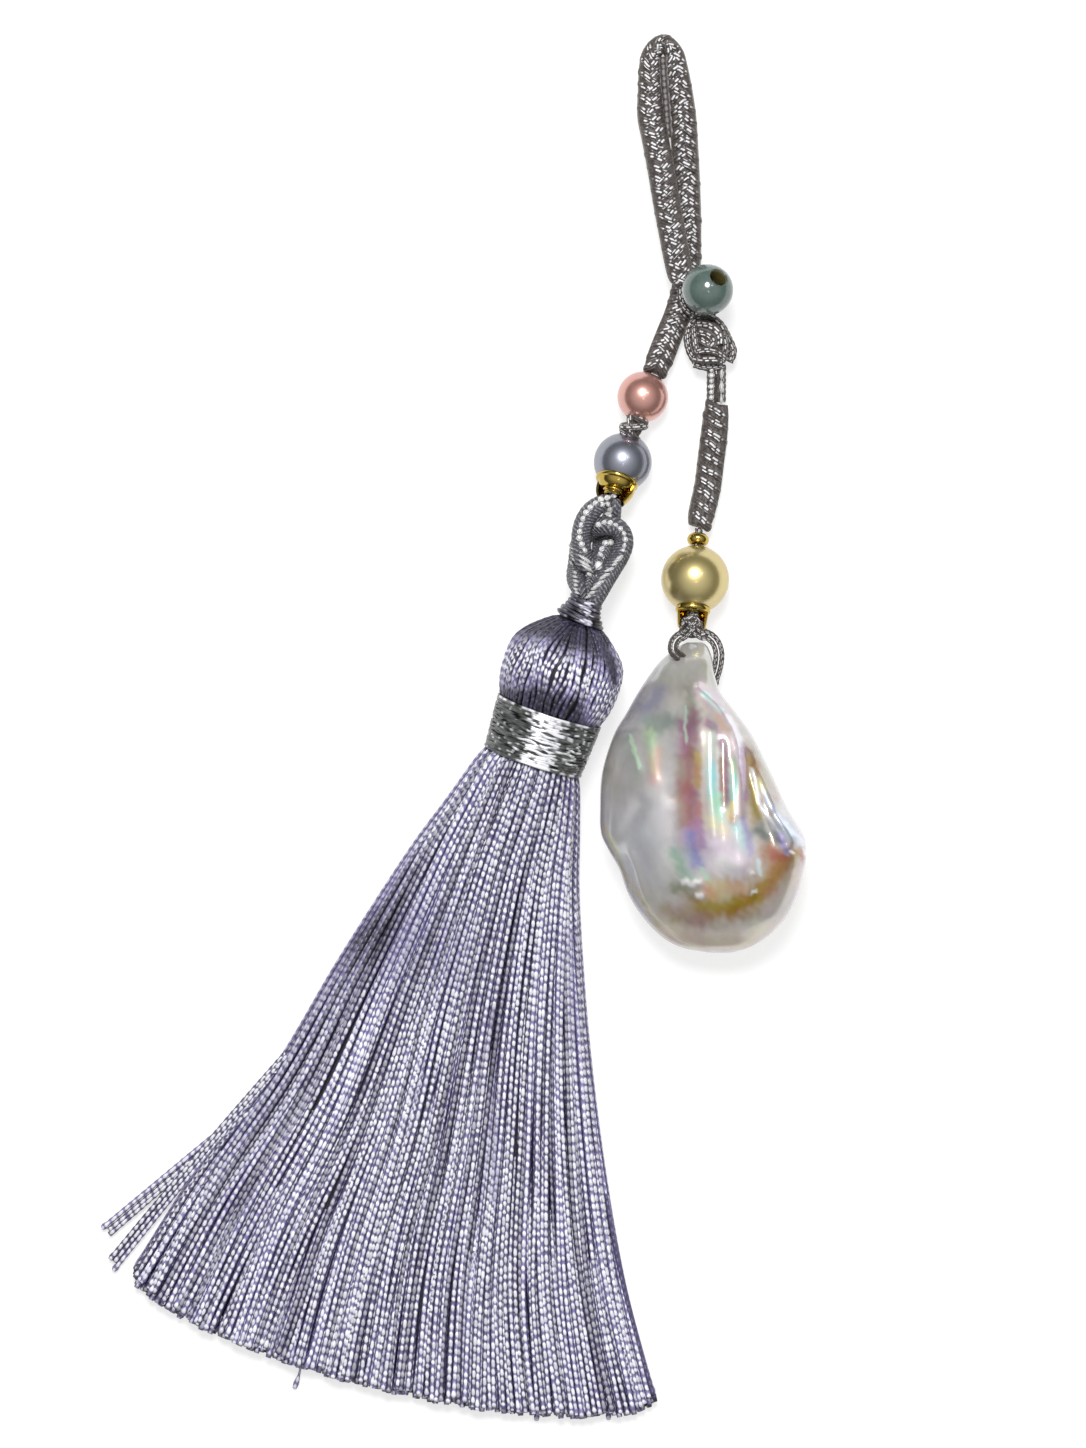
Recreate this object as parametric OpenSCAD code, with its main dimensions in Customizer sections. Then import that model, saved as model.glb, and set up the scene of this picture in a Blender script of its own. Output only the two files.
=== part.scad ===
// Pearl tassel charm, lying on a table: a doubled hanging loop of snake knot braid, buttoned over a
// jade bead, with a silk tassel on one drop and a baroque pearl on the other.
// Millimetres, +Z up. The origin is on the table, in the middle of the charm.

/* [Braid and cords] */
// Width of the snake knot braid
braid_w = 2.9; // [2.7:0.05:2.9]
// Thickness of the snake knot braid
braid_t = 2.1; // [1.9:0.05:2.1]
// Length of one knot along the braid
knot_pitch = 1.2; // [1.1:0.05:1.4]
// How far the braid draws in between its side loops, as a share of its half width
knot_dip = 0.12; // [0.05:0.01:0.25]
// Diameter of the plain cord
cord_d = 0.95; // [0.8:0.05:0.95]
// Diameter of each turn of the doubled cord through the baroque pearl
fine_cord_d = 0.52; // [0.46:0.02:0.56]
// Diameter of the twisted cord of the two linked loops
rope_d = 1.6; // [1.4:0.05:1.6]

/* [Beads and round pearls] */
// Diameter of the jade bead
jade_d = 5.1; // [4.9:0.1:5.1]
// Diameter of the pink pearl
pink_d = 5.1; // [4.9:0.1:5.1]
// Diameter of the grey pearl
grey_d = 5.8; // [5.6:0.1:5.8]
// Diameter of the golden pearl
golden_d = 6.8; // [6.6:0.1:6.8]
// Diameter of the hole drilled through each of them
bore_d = 1.4; // [1.35:0.05:1.5]
// Diameter of the thread in the hole
thread_d = 0.8; // [0.7:0.05:0.8]
// Diameter of the small gold bead
spacer_d = 2.2; // [2:0.1:2.4]
// Height of the small gold bead along its hole
spacer_h = 1.2; // [1:0.1:1.3]
// Wall of the gold cups
cup_wall = 0.22; // [0.18:0.02:0.26]

/* [Baroque pearl] */
// Length from neck to foot
baroque_l = 30.8; // [30:0.1:31]
// Widest width
baroque_w = 20.5; // [20:0.1:20.6]
// Greatest thickness
baroque_t = 13; // [12:0.1:13.2]
// Diameter of the hole through the neck
baroque_bore = 1.7; // [1.6:0.05:1.8]

/* [Tassel] */
// Diameter of the round head
head_d = 12.1; // [11.6:0.1:12.1]
// Number of thread flutes round the head
head_flutes = 30; // [20:1:36]
// Outer diameter of the band beside the head
band_d = 10.75; // [10.5:0.05:10.8]
// Outer diameter of the band beside the skirt
band_end_d = 10.05; // [9.9:0.05:10.1]
// Height of the band
band_h = 5.3; // [5:0.1:5.3]
// Number of thread turns in the band
band_turns = 13; // [8:1:16]
// Number of locks across the skirt
skirt_locks = 24; // [14:1:28]
// Depth of the furrow between two locks, as a share of a lock's width
lock_depth = 0.32; // [0.1:0.02:0.4]

/* [Hidden] */
$fn = 48;

// Colours
cord_colour = [0.45, 0.43, 0.43];
silk_colour = [0.55, 0.54, 0.63];
gold_colour = [0.83, 0.66, 0.22];
jade_colour = [0.40, 0.52, 0.50];
pink_colour = [0.80, 0.56, 0.50];
grey_colour = [0.42, 0.42, 0.46];
golden_colour = [0.80, 0.72, 0.45];
nacre_colour = [0.80, 0.78, 0.76];

// Clearance that keeps two pieces apart where they meet
gap = 0.1;

// Places of the round beads: the pearls rest on the table, the others on the cords under them
pink_at = [18.9, 33.0, pink_d / 2];
grey_at = [16.9, 26.5, grey_d / 2];
golden_at = [24.1, 14.8, golden_d / 2];
jade_at = [25.3, 43.5, 6.05];
// Ways that their holes run: at the grey and the golden pearl they rise towards the gold cups
jade_axis = [0.44, 0.48, 0.76];
pink_axis = [-1.95, -4.1, 0.35];
grey_axis = [-0.269, -0.887, 0.375];
golden_axis = [-0.075, -0.958, 0.276];
// The small gold bead is strung before the golden pearl
spacer_at = golden_at - (golden_d / 2 + 0.75) * golden_axis;

// Columns of a braid's route: x, y, z of the centreline, and its width as a share of the full one
// The hanging braid leaves the pink pearl, folds at the top and lies back over itself
hanging_route = [
    [20.1, 35.55, 2.1, 0.85],
    [20.65, 36.9, 1.7, 1],
    [21.5, 39.1, 1.2, 1],
    [22.4, 41.3, 1.1, 1],
    [23.1, 43.7, 1.1, 1],
    [23.35, 46.5, 1.1, 1],
    [23.4, 50.0, 1.1, 1],
    [23.3, 54.0, 1.1, 1],
    [23.1, 58.0, 1.1, 1],
    [22.9, 61.0, 1.1, 1],
    [22.6, 63.6, 1.1, 0.95],
    [22.25, 66.0, 1.1, 0.86],
    [22.0, 67.4, 1.1, 0.74],
    [20.95, 68.4, 1.1, 0.7],
    [19.85, 67.4, 1.1, 0.74],
    [19.65, 66.0, 1.1, 0.84],
    [19.65, 63.6, 1.15, 0.92],
    [19.7, 61.2, 1.45, 1],
    [20.1, 59.0, 2.05, 1],
    [20.55, 56.6, 2.6, 1],
    [20.95, 54.2, 2.95, 1],
    [21.35, 51.8, 3.15, 1],
    [21.8, 49.4, 3.3, 1],
    [22.25, 47.0, 3.4, 1],
    [22.6, 45.2, 3.4, 0.95],
    [22.75, 44.5, 3.4, 0.8]
];
drop_route = [
    [26.3, 32.3, 1.2, 0.85],
    [26.2, 31.0, 1.1, 0.95],
    [26.0, 29.0, 1.1, 1],
    [25.7, 26.6, 1.1, 1],
    [25.4, 24.2, 1.2, 1],
    [24.95, 22.2, 1.45, 1],
    [24.65, 20.9, 1.75, 0.95],
    [24.5, 20.15, 1.9, 0.8]
];

// Columns of a cord's route: x, y, z of the centreline
eye_route = [
    [22.75, 44.1, 3.55],
    [22.7, 43.1, 3.25],
    [22.95, 42.2, 2.95],
    [23.5, 41.5, 2.85],
    [24.25, 41.25, 2.85],
    [24.95, 41.6, 2.9],
    [25.25, 42.4, 2.9],
    [24.95, 43.2, 2.9],
    [24.3, 43.6, 2.85],
    [23.65, 43.8, 2.85]
];
eye_cord_d = 0.75;
stem_route = [
    [25.35, 41.6, 1.6],
    [24.85, 41.95, 1.8],
    [24.4, 42.3, 2.35],
    [24.22, 42.3, 3.0],
    [24.12, 42.22, 3.75],
    [24.6, 42.74, 4.85],
    [25.3, 43.5, 6.05],
    [25.8, 44.05, 6.9]
];
twin_route = [[0, 35.2, 1.9], [0, 34.3, 1.5], [0, 33.4, 1.3], [0, 32.55, 1.2]];
twin_x = [25.75, 26.75];
pink_thread_route = [[19.95, 35.2, 2.4], [18.9, 33.0, 2.55], [17.95, 31.0, 2.7]];
grey_thread_route = [for (at = [-2.6, 3.8]) grey_at + at * grey_axis];
drop_thread_route = [for (at = [-5.3, 3.7]) golden_at + at * golden_axis];
// Both turns of the doubled cord leave the knot, and meet in the baroque pearl's hole
// Columns: x, y, z of the line between the two turns, and x, y, z of the way to the outer turn
loop_left_route = [
    [22.9, 9.2, 5.0, 0, 1, 0],
    [22.5, 9.1, 5.2, -0.4, 0.9, 0],
    [22.05, 8.65, 5.8, -0.8, 0.6, 0],
    [21.85, 8.05, 6.7, -1, 0, 0],
    [21.95, 7.55, 7.4, -0.95, -0.3, 0],
    [22.35, 7.2, 7.2, -0.7, -0.7, 0],
    [22.9, 6.75, 6.6, -0.64, -0.77, 0],
    [23.8, 6.0, 5.55, -0.64, -0.77, 0]
];
loop_right_route = [
    [24.7, 9.25, 5.0, 0, 1, 0],
    [25.35, 9.2, 4.95, 0.45, 0.9, 0],
    [26.05, 8.6, 4.75, 0.8, 0.6, 0],
    [26.42, 7.65, 4.4, 0.98, 0.2, 0],
    [26.42, 6.65, 4.0, 1, 0, 0],
    [26.25, 5.75, 3.3, 1, -0.1, 0],
    [26.0, 4.95, 2.65, 0.98, -0.15, 0.15],
    [25.9, 4.4, 2.7, 0.89, -0.17, 0.43],
    [25.5, 4.6, 3.55, 0.82, 0.33, 0.47],
    [25.0, 5.03, 4.15, 0.82, 0.33, 0.47],
    [24.5, 5.44, 4.72, 0.82, 0.33, 0.47]
];
loop_apart = 0.3;

// The two linked loops of twisted cord, with the same columns as a braid's route
cap_loop_route = [
    [15.55, 22.75, 4.75, 0.5],
    [14.95, 22.45, 5.2, 0.8],
    [13.9, 21.7, 5.45, 1],
    [13.1, 20.6, 5.55, 1],
    [12.75, 19.3, 5.6, 1],
    [12.75, 18.1, 5.7, 1],
    [12.85, 17.0, 5.75, 1],
    [13.35, 16.2, 5.6, 1],
    [14.1, 16.2, 4.9, 1],
    [14.8, 17.0, 4.0, 1],
    [15.35, 18.1, 3.4, 1],
    [15.6, 19.2, 3.2, 1],
    [15.65, 20.1, 3.25, 1],
    [15.75, 20.9, 3.65, 1],
    [15.95, 21.6, 4.3, 0.85],
    [16.1, 22.2, 4.7, 0.7],
    [16.15, 22.75, 4.7, 0.5]
];
tassel_loop_route = [
    [14.2, 12.87, 6.95, 0.9],
    [14.6, 13.75, 6.8, 1],
    [15.2, 14.8, 6.35, 1],
    [15.9, 15.95, 5.85, 1],
    [16.5, 16.95, 5.5, 1],
    [16.95, 18.1, 5.4, 1],
    [16.9, 19.1, 5.45, 1],
    [16.35, 19.85, 5.55, 1],
    [15.6, 20.1, 5.5, 1],
    [15.0, 20.1, 5.1, 1],
    [14.4, 20.0, 4.45, 1],
    [13.8, 19.75, 3.85, 1],
    [13.15, 19.2, 3.6, 1],
    [12.65, 18.4, 3.6, 1],
    [12.5, 17.4, 3.65, 1],
    [12.4, 16.4, 3.85, 1],
    [12.25, 15.5, 4.35, 1],
    [12.25, 14.85, 5.1, 1],
    [12.35, 14.25, 6.1, 0.9],
    [12.57, 13.65, 6.8, 0.55]
];

// Columns of the baroque pearl's sections, as shares of its length, width and thickness:
// distance from the neck, left edge, right edge, underside, top side
baroque_sections = [
    [0, 0.42, 0.5, 0.36, 0.42],
    [0.015, 0.375, 0.525, 0.30, 0.47],
    [0.055, 0.30, 0.545, 0.22, 0.58],
    [0.10, 0.245, 0.555, 0.16, 0.66],
    [0.16, 0.185, 0.585, 0.10, 0.75],
    [0.225, 0.13, 0.66, 0.06, 0.83],
    [0.30, 0.065, 0.74, 0.03, 0.91],
    [0.42, 0.01, 0.83, 0.005, 0.97],
    [0.535, 0, 0.91, 0, 1],
    [0.615, 0.005, 0.985, 0, 1],
    [0.675, 0.045, 1, 0.005, 0.975],
    [0.735, 0.095, 0.99, 0.02, 0.94],
    [0.81, 0.135, 0.96, 0.06, 0.86],
    [0.885, 0.205, 0.905, 0.13, 0.75],
    [0.95, 0.30, 0.81, 0.24, 0.61],
    [0.985, 0.40, 0.72, 0.33, 0.53],
    [1, 0.52, 0.64, 0.41, 0.46]
];
baroque_at = [14.6, 8.5, 0];
// Columns of the pearl's folds, in its top view: start x, y, end x, y, half width, height
baroque_folds = [
    [24.2, 3.0, 25.6, -11.0, 1.3, 0.55],
    [27.2, -0.5, 28.2, -13.0, 1.2, 0.5],
    [30.2, -4.5, 33.4, -11.2, 1.0, 0.7],
    [28.9, -3.0, 31.4, -10.0, 0.8, -0.5],
    [19.0, -5.0, 20.5, -14.0, 1.6, 0.5],
    [22.3, -2.0, 22.3, -11.0, 1.0, -0.4],
    [16.4, -11.4, 18.6, -7.6, 0.9, -0.45]
];
baroque_bore_from = [22.0, 7.5, 7.6];
baroque_bore_to = [26.0, 4.2, 3.0];
baroque_rings = 32;
baroque_sides = 34;

// Tassel: the middle of the head, the way its axis points in the top view, and its dip to the skirt
head_at = [11.0, 5.9, head_d / 2 + 0.1];
tassel_turn = 18.5;
tassel_dip = 6;
tassel_axis = [-sin(tassel_turn) * cos(tassel_dip), -cos(tassel_turn) * cos(tassel_dip), -sin(tassel_dip)];
waist_r = 4.55;
band_from = 4.4;
band_to = band_from + band_h;
// Columns of the head's outline: distance along the axis, radius as a share of the head's
head_outline = [
    [-4.95, 0.2], [-4.85, 0.34], [-4.6, 0.45], [-4.1, 0.57], [-3.6, 0.67], [-3.0, 0.78], [-2.4, 0.87],
    [-1.7, 0.945], [-0.9, 0.985], [0.1, 1], [1.1, 1], [2.1, 0.985], [3.2, 0.945], [4.3, 0.875]
];
// Radii of the binding's turns, from the loop to the head
binding_r = [1.6, 1.7, 2.0, 2.35];
binding_from = -7.3;
binding_to = -5.05;

// Columns of the skirt's sections: left edge x, y, right edge x, y, middle height, half height,
// squareness of the section, and how far its middle sags towards the fringe
skirt_sections = [
    [2.2, -2.9, 12.7, -6.3, 4.9, 4.85, 2, 0],
    [-0.75, -7.0, 12.7, -11.0, 4.1, 4.05, 2.1, 0],
    [-4.65, -12.3, 12.7, -17.4, 3.25, 3.25, 2.2, 0.4],
    [-11.5, -22.9, 13.6, -30.1, 2.4, 2.4, 2.5, 1.8],
    [-17.85, -33.5, 15.15, -42.8, 1.9, 1.9, 2.8, 3.2],
    [-25.85, -44.1, 17.4, -55.5, 1.55, 1.55, 3.2, 4.6],
    [-32.5, -54.5, 20.6, -67.3, 1.35, 1.35, 3.6, 5.8]
];
skirt_steps = 12;
fringe_notch = 0.5;
// Routes of the two stray locks at the left edge
stray_routes = [
    [[-21.5, -38.8, 1.3], [-27.2, -43.7, 0.95], [-32.4, -48.7, 0.65], [-35.2, -51.2, 0.5]],
    [[-22.5, -41.5, 1.3], [-27.5, -46.2, 0.95], [-32.0, -51.1, 0.65], [-34.1, -53.3, 0.5]]
];
stray_d = 0.9;

// Points and curves
function xyz(p) = [p[0], p[1], p[2]];
function unit(v) = v / norm(v);
function side_of(along) = unit(cross(along, abs(along.z) > 0.9 * norm(along) ? [1, 0, 0] : [0, 0, 1]));

// A smooth curve through the rows of a table, at row number u
function smooth_at(rows, u) =
    let (
        last = len(rows) - 1,
        i = min(floor(u), last - 1),
        f = u - i,
        a = rows[max(i - 1, 0)],
        b = rows[i],
        c = rows[i + 1],
        d = rows[min(i + 2, last)]
    )
    (2 * b + (c - a) * f + (2 * a - 5 * b + 4 * c - d) * f ^ 2 + (3 * b - a - 3 * c + d) * f ^ 3) / 2;
function smooth(rows, steps) = [for (k = [0 : (len(rows) - 1) * steps]) smooth_at(rows, k / steps)];

// The same curve, cut into equal lengths of about one step
function step_to(p, i) = i + 1 < len(p) ? norm(xyz(p[i + 1]) - xyz(p[i])) : 0;
function lengths(p) = [for (i = 0, s = 0; i < len(p); s = s + step_to(p, i), i = i + 1) s];
function evenly(p, step) =
    let (
        at = lengths(p),
        total = at[len(p) - 1],
        count = round(total / step),
        columns = [for (c = [0 : len(p[0]) - 1]) [for (i = [0 : len(p) - 1]) [at[i], p[i][c]]]]
    )
    [for (k = [0 : count]) [for (c = columns) lookup(k * total / count, c)]];
function direction(p, i) = unit(xyz(p[min(i + 1, len(p) - 1)]) - xyz(p[max(i - 1, 0)]));

// A closed solid through rings of points that run anticlockwise as seen along the way
module skin(rings) {
    sides = len(rings[0]);
    last = len(rings) - 1;
    walls = [
        for (k = [0 : last - 1], j = [0 : sides - 1])
            let (a = k * sides + j, b = k * sides + (j + 1) % sides)
            each [[a, b, b + sides], [a, b + sides, a + sides]]
    ];
    first_cap = [for (j = [sides - 1 : -1 : 0]) j];
    last_cap = [for (j = [0 : sides - 1]) last * sides + j];
    polyhedron([for (r = rings) each r], concat([first_cap], walls, [last_cap]), convexity = 6);
}

// A round cord along a route, whose fourth column, where it has one, is a share of the diameter
module cord(route, d, step, sides = 8) {
    p = evenly(smooth(route, 6), step);
    skin([
        for (i = [0 : len(p) - 1])
            let (
                along = direction(p, i),
                side = side_of(along),
                up = cross(side, along),
                r = d / 2 * (len(p[i]) > 3 ? p[i][3] : 1)
            )
            [for (j = [0 : sides - 1]) let (a = 360 * j / sides) xyz(p[i]) + (cos(a) * side + sin(a) * up) * r]
    ]);
}

// A snake knot braid along a route: its side loops stand out left and right by turns
module snake_braid(route, sides = 12) {
    p = evenly(smooth(route, 8), knot_pitch / 2);
    skin([
        for (i = [0 : len(p) - 1])
            let (
                along = direction(p, i),
                side = side_of(along),
                up = cross(side, along),
                half_w = p[i][3] * braid_w / 2,
                half_t = (0.35 + 0.65 * p[i][3]) * braid_t / 2,
                out = i % 2 == 0 ? 1 : -1
            )
            [
                for (j = [0 : sides - 1])
                    let (a = 360 * j / sides, dip = 1 - knot_dip * max(0, -out * cos(a)))
                    xyz(p[i]) + cos(a) * half_w * dip * side + sin(a) * half_t * up
            ]
    ]);
}

// Turns a child's +Z to a direction and moves it to a point
module place(at, along) {
    translate(at)
        rotate([0, acos(along.z / norm(along)), atan2(along.y, along.x)])
            children();
}

// A ball with a hole drilled along an axis, and the hole's mouth widened where it shows
module drilled_ball(at, along, d, mouth_d = 0) {
    place(at, along)
        difference() {
            sphere(d = d);
            cylinder(d = bore_d, h = 2 * d, center = true);
            if (mouth_d > 0)
                translate([0, 0, sqrt(d ^ 2 - mouth_d ^ 2) / 2 - 0.4])
                    cylinder(d1 = bore_d, d2 = mouth_d + 0.25, h = 0.5);
        }
}

// A ball of crossing cords: a core with raised bands along three tilted rings
module ball_knot(at, along, radius, stretch, band, tilt = 52, rings = 14, sides = 24) {
    normals = [for (k = [0 : 2]) [sin(tilt) * cos(120 * k), sin(tilt) * sin(120 * k), cos(tilt)]];
    function reach(v) =
        let (nearest = min([for (n = normals) abs(asin(v * n))]))
        radius - band * (1 - exp(-(nearest / 24) ^ 2));
    place(at, along)
        skin([
            for (i = [0 : rings])
                let (polar = 6 + 168 * i / rings)
                [
                    for (j = [0 : sides - 1])
                        let (
                            a = -360 * j / sides,
                            v = [sin(polar) * cos(a), sin(polar) * sin(a), -cos(polar)],
                            p = v * reach(v)
                        )
                        [p.x, p.y, p.z * stretch]
                ]
        ]);
}

// Outline points of the side of a revolved cup that hugs a ball, from the hole out to a radius
function seat(seat_r, rim_r) = [
    for (share = [0 : 0.25 : 1])
        let (r = bore_d / 2 + (rim_r - bore_d / 2) * share)
        [r, sqrt(seat_r ^ 2 - r ^ 2)]
];

// Outline points of rows of wound thread: a bump for each turn, between radii r0 and r1
function wound(from, to, turns, radius_of, groove) = [
    for (k = [0 : turns - 1])
        let (pitch = (to - from) / turns, r = radius_of(k))
        each [
            [r - groove, from + k * pitch],
            [r, from + (k + 0.3) * pitch],
            [r, from + (k + 0.7) * pitch],
            [r - groove, from + (k + 0.97) * pitch]
        ]
];

module hanging_braid() {
    color(cord_colour) snake_braid(hanging_route);
}

module eye_loop() {
    color(cord_colour) cord(eye_route, eye_cord_d, 0.7);
}

module jade_bead() {
    color(jade_colour) drilled_ball(jade_at, jade_axis, jade_d, mouth_d = 1.7);
}

module bead_stem() {
    color(cord_colour) cord(stem_route, thread_d, 0.7);
}

module button_knot() {
    color(cord_colour) ball_knot([25.6, 38.3, 2.45], [0.05, 1, 0.05], 2.4, 1.19, 0.45);
}

module twin_cord() {
    color(cord_colour)
        for (x = twin_x)
            cord([for (p = twin_route) p + [x, 0, 0]], cord_d, 0.8);
}

module drop_braid() {
    color(cord_colour) snake_braid(drop_route);
}

module gold_spacer() {
    bulge = spacer_d / 2 - spacer_h / 2;
    color(gold_colour)
        place(spacer_at, golden_at - spacer_at)
            rotate_extrude()
                difference() {
                    union() {
                        translate([bulge, 0]) circle(d = spacer_h);
                        translate([0, -spacer_h / 2]) square([bulge, spacer_h]);
                    }
                    translate([-1, -spacer_h]) square([1 + bore_d / 2, 2 * spacer_h]);
                }
}

module golden_pearl() {
    color(golden_colour) drilled_ball(golden_at, golden_axis, golden_d);
}

// The cup hugs the golden pearl, and its wall is open on top, over the knot
module gold_cup() {
    seat_r = golden_d / 2 + gap;
    rim_r = 1.68;
    rim_at = sqrt(seat_r ^ 2 - rim_r ^ 2);
    end_r = 1.38;
    end_at = 5.0;
    floor_at = seat_r + cup_wall;
    outside = [[rim_r, rim_at + 0.38], [1.58, rim_at + 0.48], [end_r, end_at]];
    inside = [[end_r - cup_wall, end_at], [1.58 - cup_wall, floor_at], [bore_d / 2, floor_at]];
    color(gold_colour)
        place(golden_at, golden_axis)
            difference() {
                rotate_extrude() polygon(concat(seat(seat_r, rim_r), outside, inside));
                translate([-3, -2, rim_at + 0.5]) cube([3, 4, 3]);
            }
}

module drop_thread() {
    color(cord_colour) cord(drop_thread_route, thread_d, 1.2);
}

module cup_knot() {
    radius = 1.02;
    color(cord_colour)
        ball_knot(golden_at + 4.7 * golden_axis, golden_axis, radius, 0.8, 0.2, rings = 10, sides = 18);
}

module pearl_loop() {
    color(cord_colour)
        for (turn = [-1, 1], route = [loop_left_route, loop_right_route])
            cord([for (p = route) xyz(p) + turn * loop_apart * [p[3], p[4], p[5]]], fine_cord_d, 0.5);
}

// Height that the folds add at a point of the top side
function fold_height(x, y) = [
    for (f = baroque_folds)
        let (
            from = [f[0], f[1]],
            run = [f[2], f[3]] - from,
            share = min(1, max(0, ([x, y] - from) * run / (run * run))),
            off = norm([x, y] - from - share * run)
        )
        f[5] * exp(-(off / f[4]) ^ 2)
] * [for (f = baroque_folds) 1];

module baroque_pearl() {
    last = len(baroque_sections) - 1;
    bore_way = baroque_bore_to - baroque_bore_from;
    color(nacre_colour)
        difference() {
            skin([
                for (i = [0 : baroque_rings])
                    let (
                        s = smooth_at(baroque_sections, last * i / baroque_rings),
                        mid = [(s[1] + s[2]) / 2 * baroque_w, (s[3] + s[4]) / 2 * baroque_t],
                        half = [(s[2] - s[1]) / 2 * baroque_w, (s[4] - s[3]) / 2 * baroque_t]
                    )
                    [
                        for (j = [0 : baroque_sides - 1])
                            let (
                                a = -360 * j / baroque_sides,
                                x = baroque_at.x + mid[0] + half[0] * cos(a),
                                y = baroque_at.y - baroque_l * s[0],
                                fold = max(0, sin(a)) ^ 0.7 * fold_height(x, y)
                            )
                            [x, y, baroque_at.z + mid[1] + half[1] * sin(a) + fold]
                    ]
            ]);
            place(baroque_bore_from - 0.3 * bore_way, bore_way)
                cylinder(d = baroque_bore, h = 1.6 * norm(bore_way));
        }
}

module pink_pearl() {
    color(pink_colour) drilled_ball(pink_at, pink_axis, pink_d);
}

// The knot fills the space between the two pearls
module mid_knot() {
    color(cord_colour)
        difference() {
            ball_knot([18.0, 29.95, 2.95], [0.3, 1, 0], 1.4, 1.0, 0.25, rings = 10, sides = 18);
            translate(pink_at) sphere(r = pink_d / 2 + gap);
            translate(grey_at) sphere(r = grey_d / 2 + gap);
        }
}

module grey_pearl() {
    color(grey_colour) drilled_ball(grey_at, grey_axis, grey_d);
}

// A bowl that hugs the grey pearl, open on top, with a small ringed tube inside
module gold_cap() {
    seat_r = grey_d / 2 + gap;
    rim_r = 2.1;
    rim_at = sqrt(seat_r ^ 2 - rim_r ^ 2);
    end_r = 1.35;
    end_at = 4.4;
    open_turn = 25;
    bowl = [
        [rim_r, rim_at + 0.3], [2.0, rim_at + 0.4], [1.97, 3.2], [1.75, 3.75], [end_r, end_at],
        [end_r - cup_wall, end_at - 0.08], [1.75 - cup_wall, 3.6], [1.97 - cup_wall, 3.1], [1.72, 2.8]
    ];
    tube = [
        [1.35, 3.05], [0.95, 3.25], [1.0, 3.35], [1.0, 3.45], [0.95, 3.55], [0.85, 3.6], [0.85, 3.75],
        [bore_d / 2, 3.75]
    ];
    color(gold_colour)
        place(grey_at, grey_axis)
            difference() {
                rotate_extrude() polygon(concat(seat(seat_r, rim_r), bowl, tube));
                rotate([0, 0, open_turn])
                    difference() {
                        translate([-3, -3, rim_at + 0.45]) cube([3, 6, 3]);
                        cylinder(r = 1.15, h = 4);
                    }
            }
}

module tassel_thread() {
    color(cord_colour)
        for (route = [pink_thread_route, grey_thread_route])
            cord(route, thread_d, 0.9);
}

module cap_loop() {
    color(silk_colour) cord(cap_loop_route, rope_d, 0.75, sides = 10);
}

module tassel_loop() {
    color(silk_colour) cord(tassel_loop_route, rope_d, 0.75, sides = 10);
}

// Turns of thread round the foot of the tassel's loop, wider towards the head
module neck_binding() {
    turns = len(binding_r);
    color(silk_colour)
        place(head_at, tassel_axis)
            rotate_extrude()
                polygon(concat(
                    wound(binding_from, binding_to, turns, function(k) binding_r[k], 0.14),
                    [[0, binding_to], [0, binding_from]]
                ));
}

// The head's threads are flutes that run out where they are drawn together
module tassel_head() {
    sides = 2 * head_flutes;
    color(silk_colour)
        place(head_at, tassel_axis)
            skin([
                for (row = head_outline)
                    [
                        for (j = [0 : sides - 1])
                            let (a = -360 * j / sides, r = row[1] * (head_d / 2 - (j % 2) * 0.12))
                            [r * cos(a), r * sin(a), row[0]]
                    ]
            ]);
}

// Turns of metallic thread, side by side, round the waist
module waist_band() {
    inner_r = waist_r + gap;
    color(cord_colour)
        place(head_at, tassel_axis)
            rotate_extrude()
                polygon(concat(
                    wound(
                        band_from, band_to, band_turns,
                        function(k) (band_d + (band_end_d - band_d) * k / (band_turns - 1)) / 2,
                        0.12
                    ),
                    [[inner_r, band_to - 0.02], [inner_r, band_from]]
                ));
}

// A point of the skirt's top or underside: across runs 0 to 1 from the left edge
function skirt_point(row, across, top) =
    let (
        left = [row[0], row[1]],
        right = [row[2], row[3]],
        way = unit(right - left),
        sag = row[7] * sin(180 * across) ^ 0.5,
        plan = left + (right - left) * across + sag * [way.y, -way.x],
        round_off = (1 - abs(2 * across - 1) ^ row[6]) ^ (1 / row[6]),
        between = 1 - abs(sin(180 * across * skirt_locks)),
        furrow = lock_depth * norm(right - left) / skirt_locks * between * round_off,
        height = row[4] + (top ? row[5] * round_off - furrow : -row[5] * round_off)
    )
    [plan.x, plan.y, max(0, height)];

// The fringe's locks end unevenly, with a notch between each two
function fringe_end(j) = j % 2 == 0 ? fringe_notch : 0.3 * sin(137 * j) + 0.2 * sin(71 * j) - 0.1;

// A ring round the tassel's axis, from its left over the top to its right and back underneath
function axis_ring(at, r, sides) =
    let (right = unit([-tassel_axis.y, tassel_axis.x, 0]), up = cross(right, -tassel_axis))
    [
        for (j = [0 : sides - 1])
            let (a = 180 - 360 * j / sides)
            head_at + tassel_axis * at + r * (cos(a) * right + sin(a) * up)
    ];

// The skirt's rings run along the top from the left edge to the right, and back along the underside
function skirt_ring(row, count, fringe) = concat(
    [for (j = [0 : count]) skirt_point(row, j / count, true) + [0, fringe * fringe_end(j), 0]],
    [for (j = [count - 1 : -1 : 1]) skirt_point(row, j / count, false) + [0, fringe * fringe_end(j), 0]]
);

// Triangles that close a ring of 2 * count points, between its top and its underside
function across_cap(start, count) = [
    for (j = [0 : count - 1])
        let (
            top = [start + j, start + j + 1],
            under = [start + (2 * count - j) % (2 * count), start + 2 * count - j - 1]
        )
        each concat(
            top[1] == under[1] ? [] : [[top[0], under[1], top[1]]],
            top[0] == under[0] ? [] : [[top[0], under[0], under[1]]]
        )
];
function turned(faces) = [for (f = faces) [f[2], f[1], f[0]]];

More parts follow.
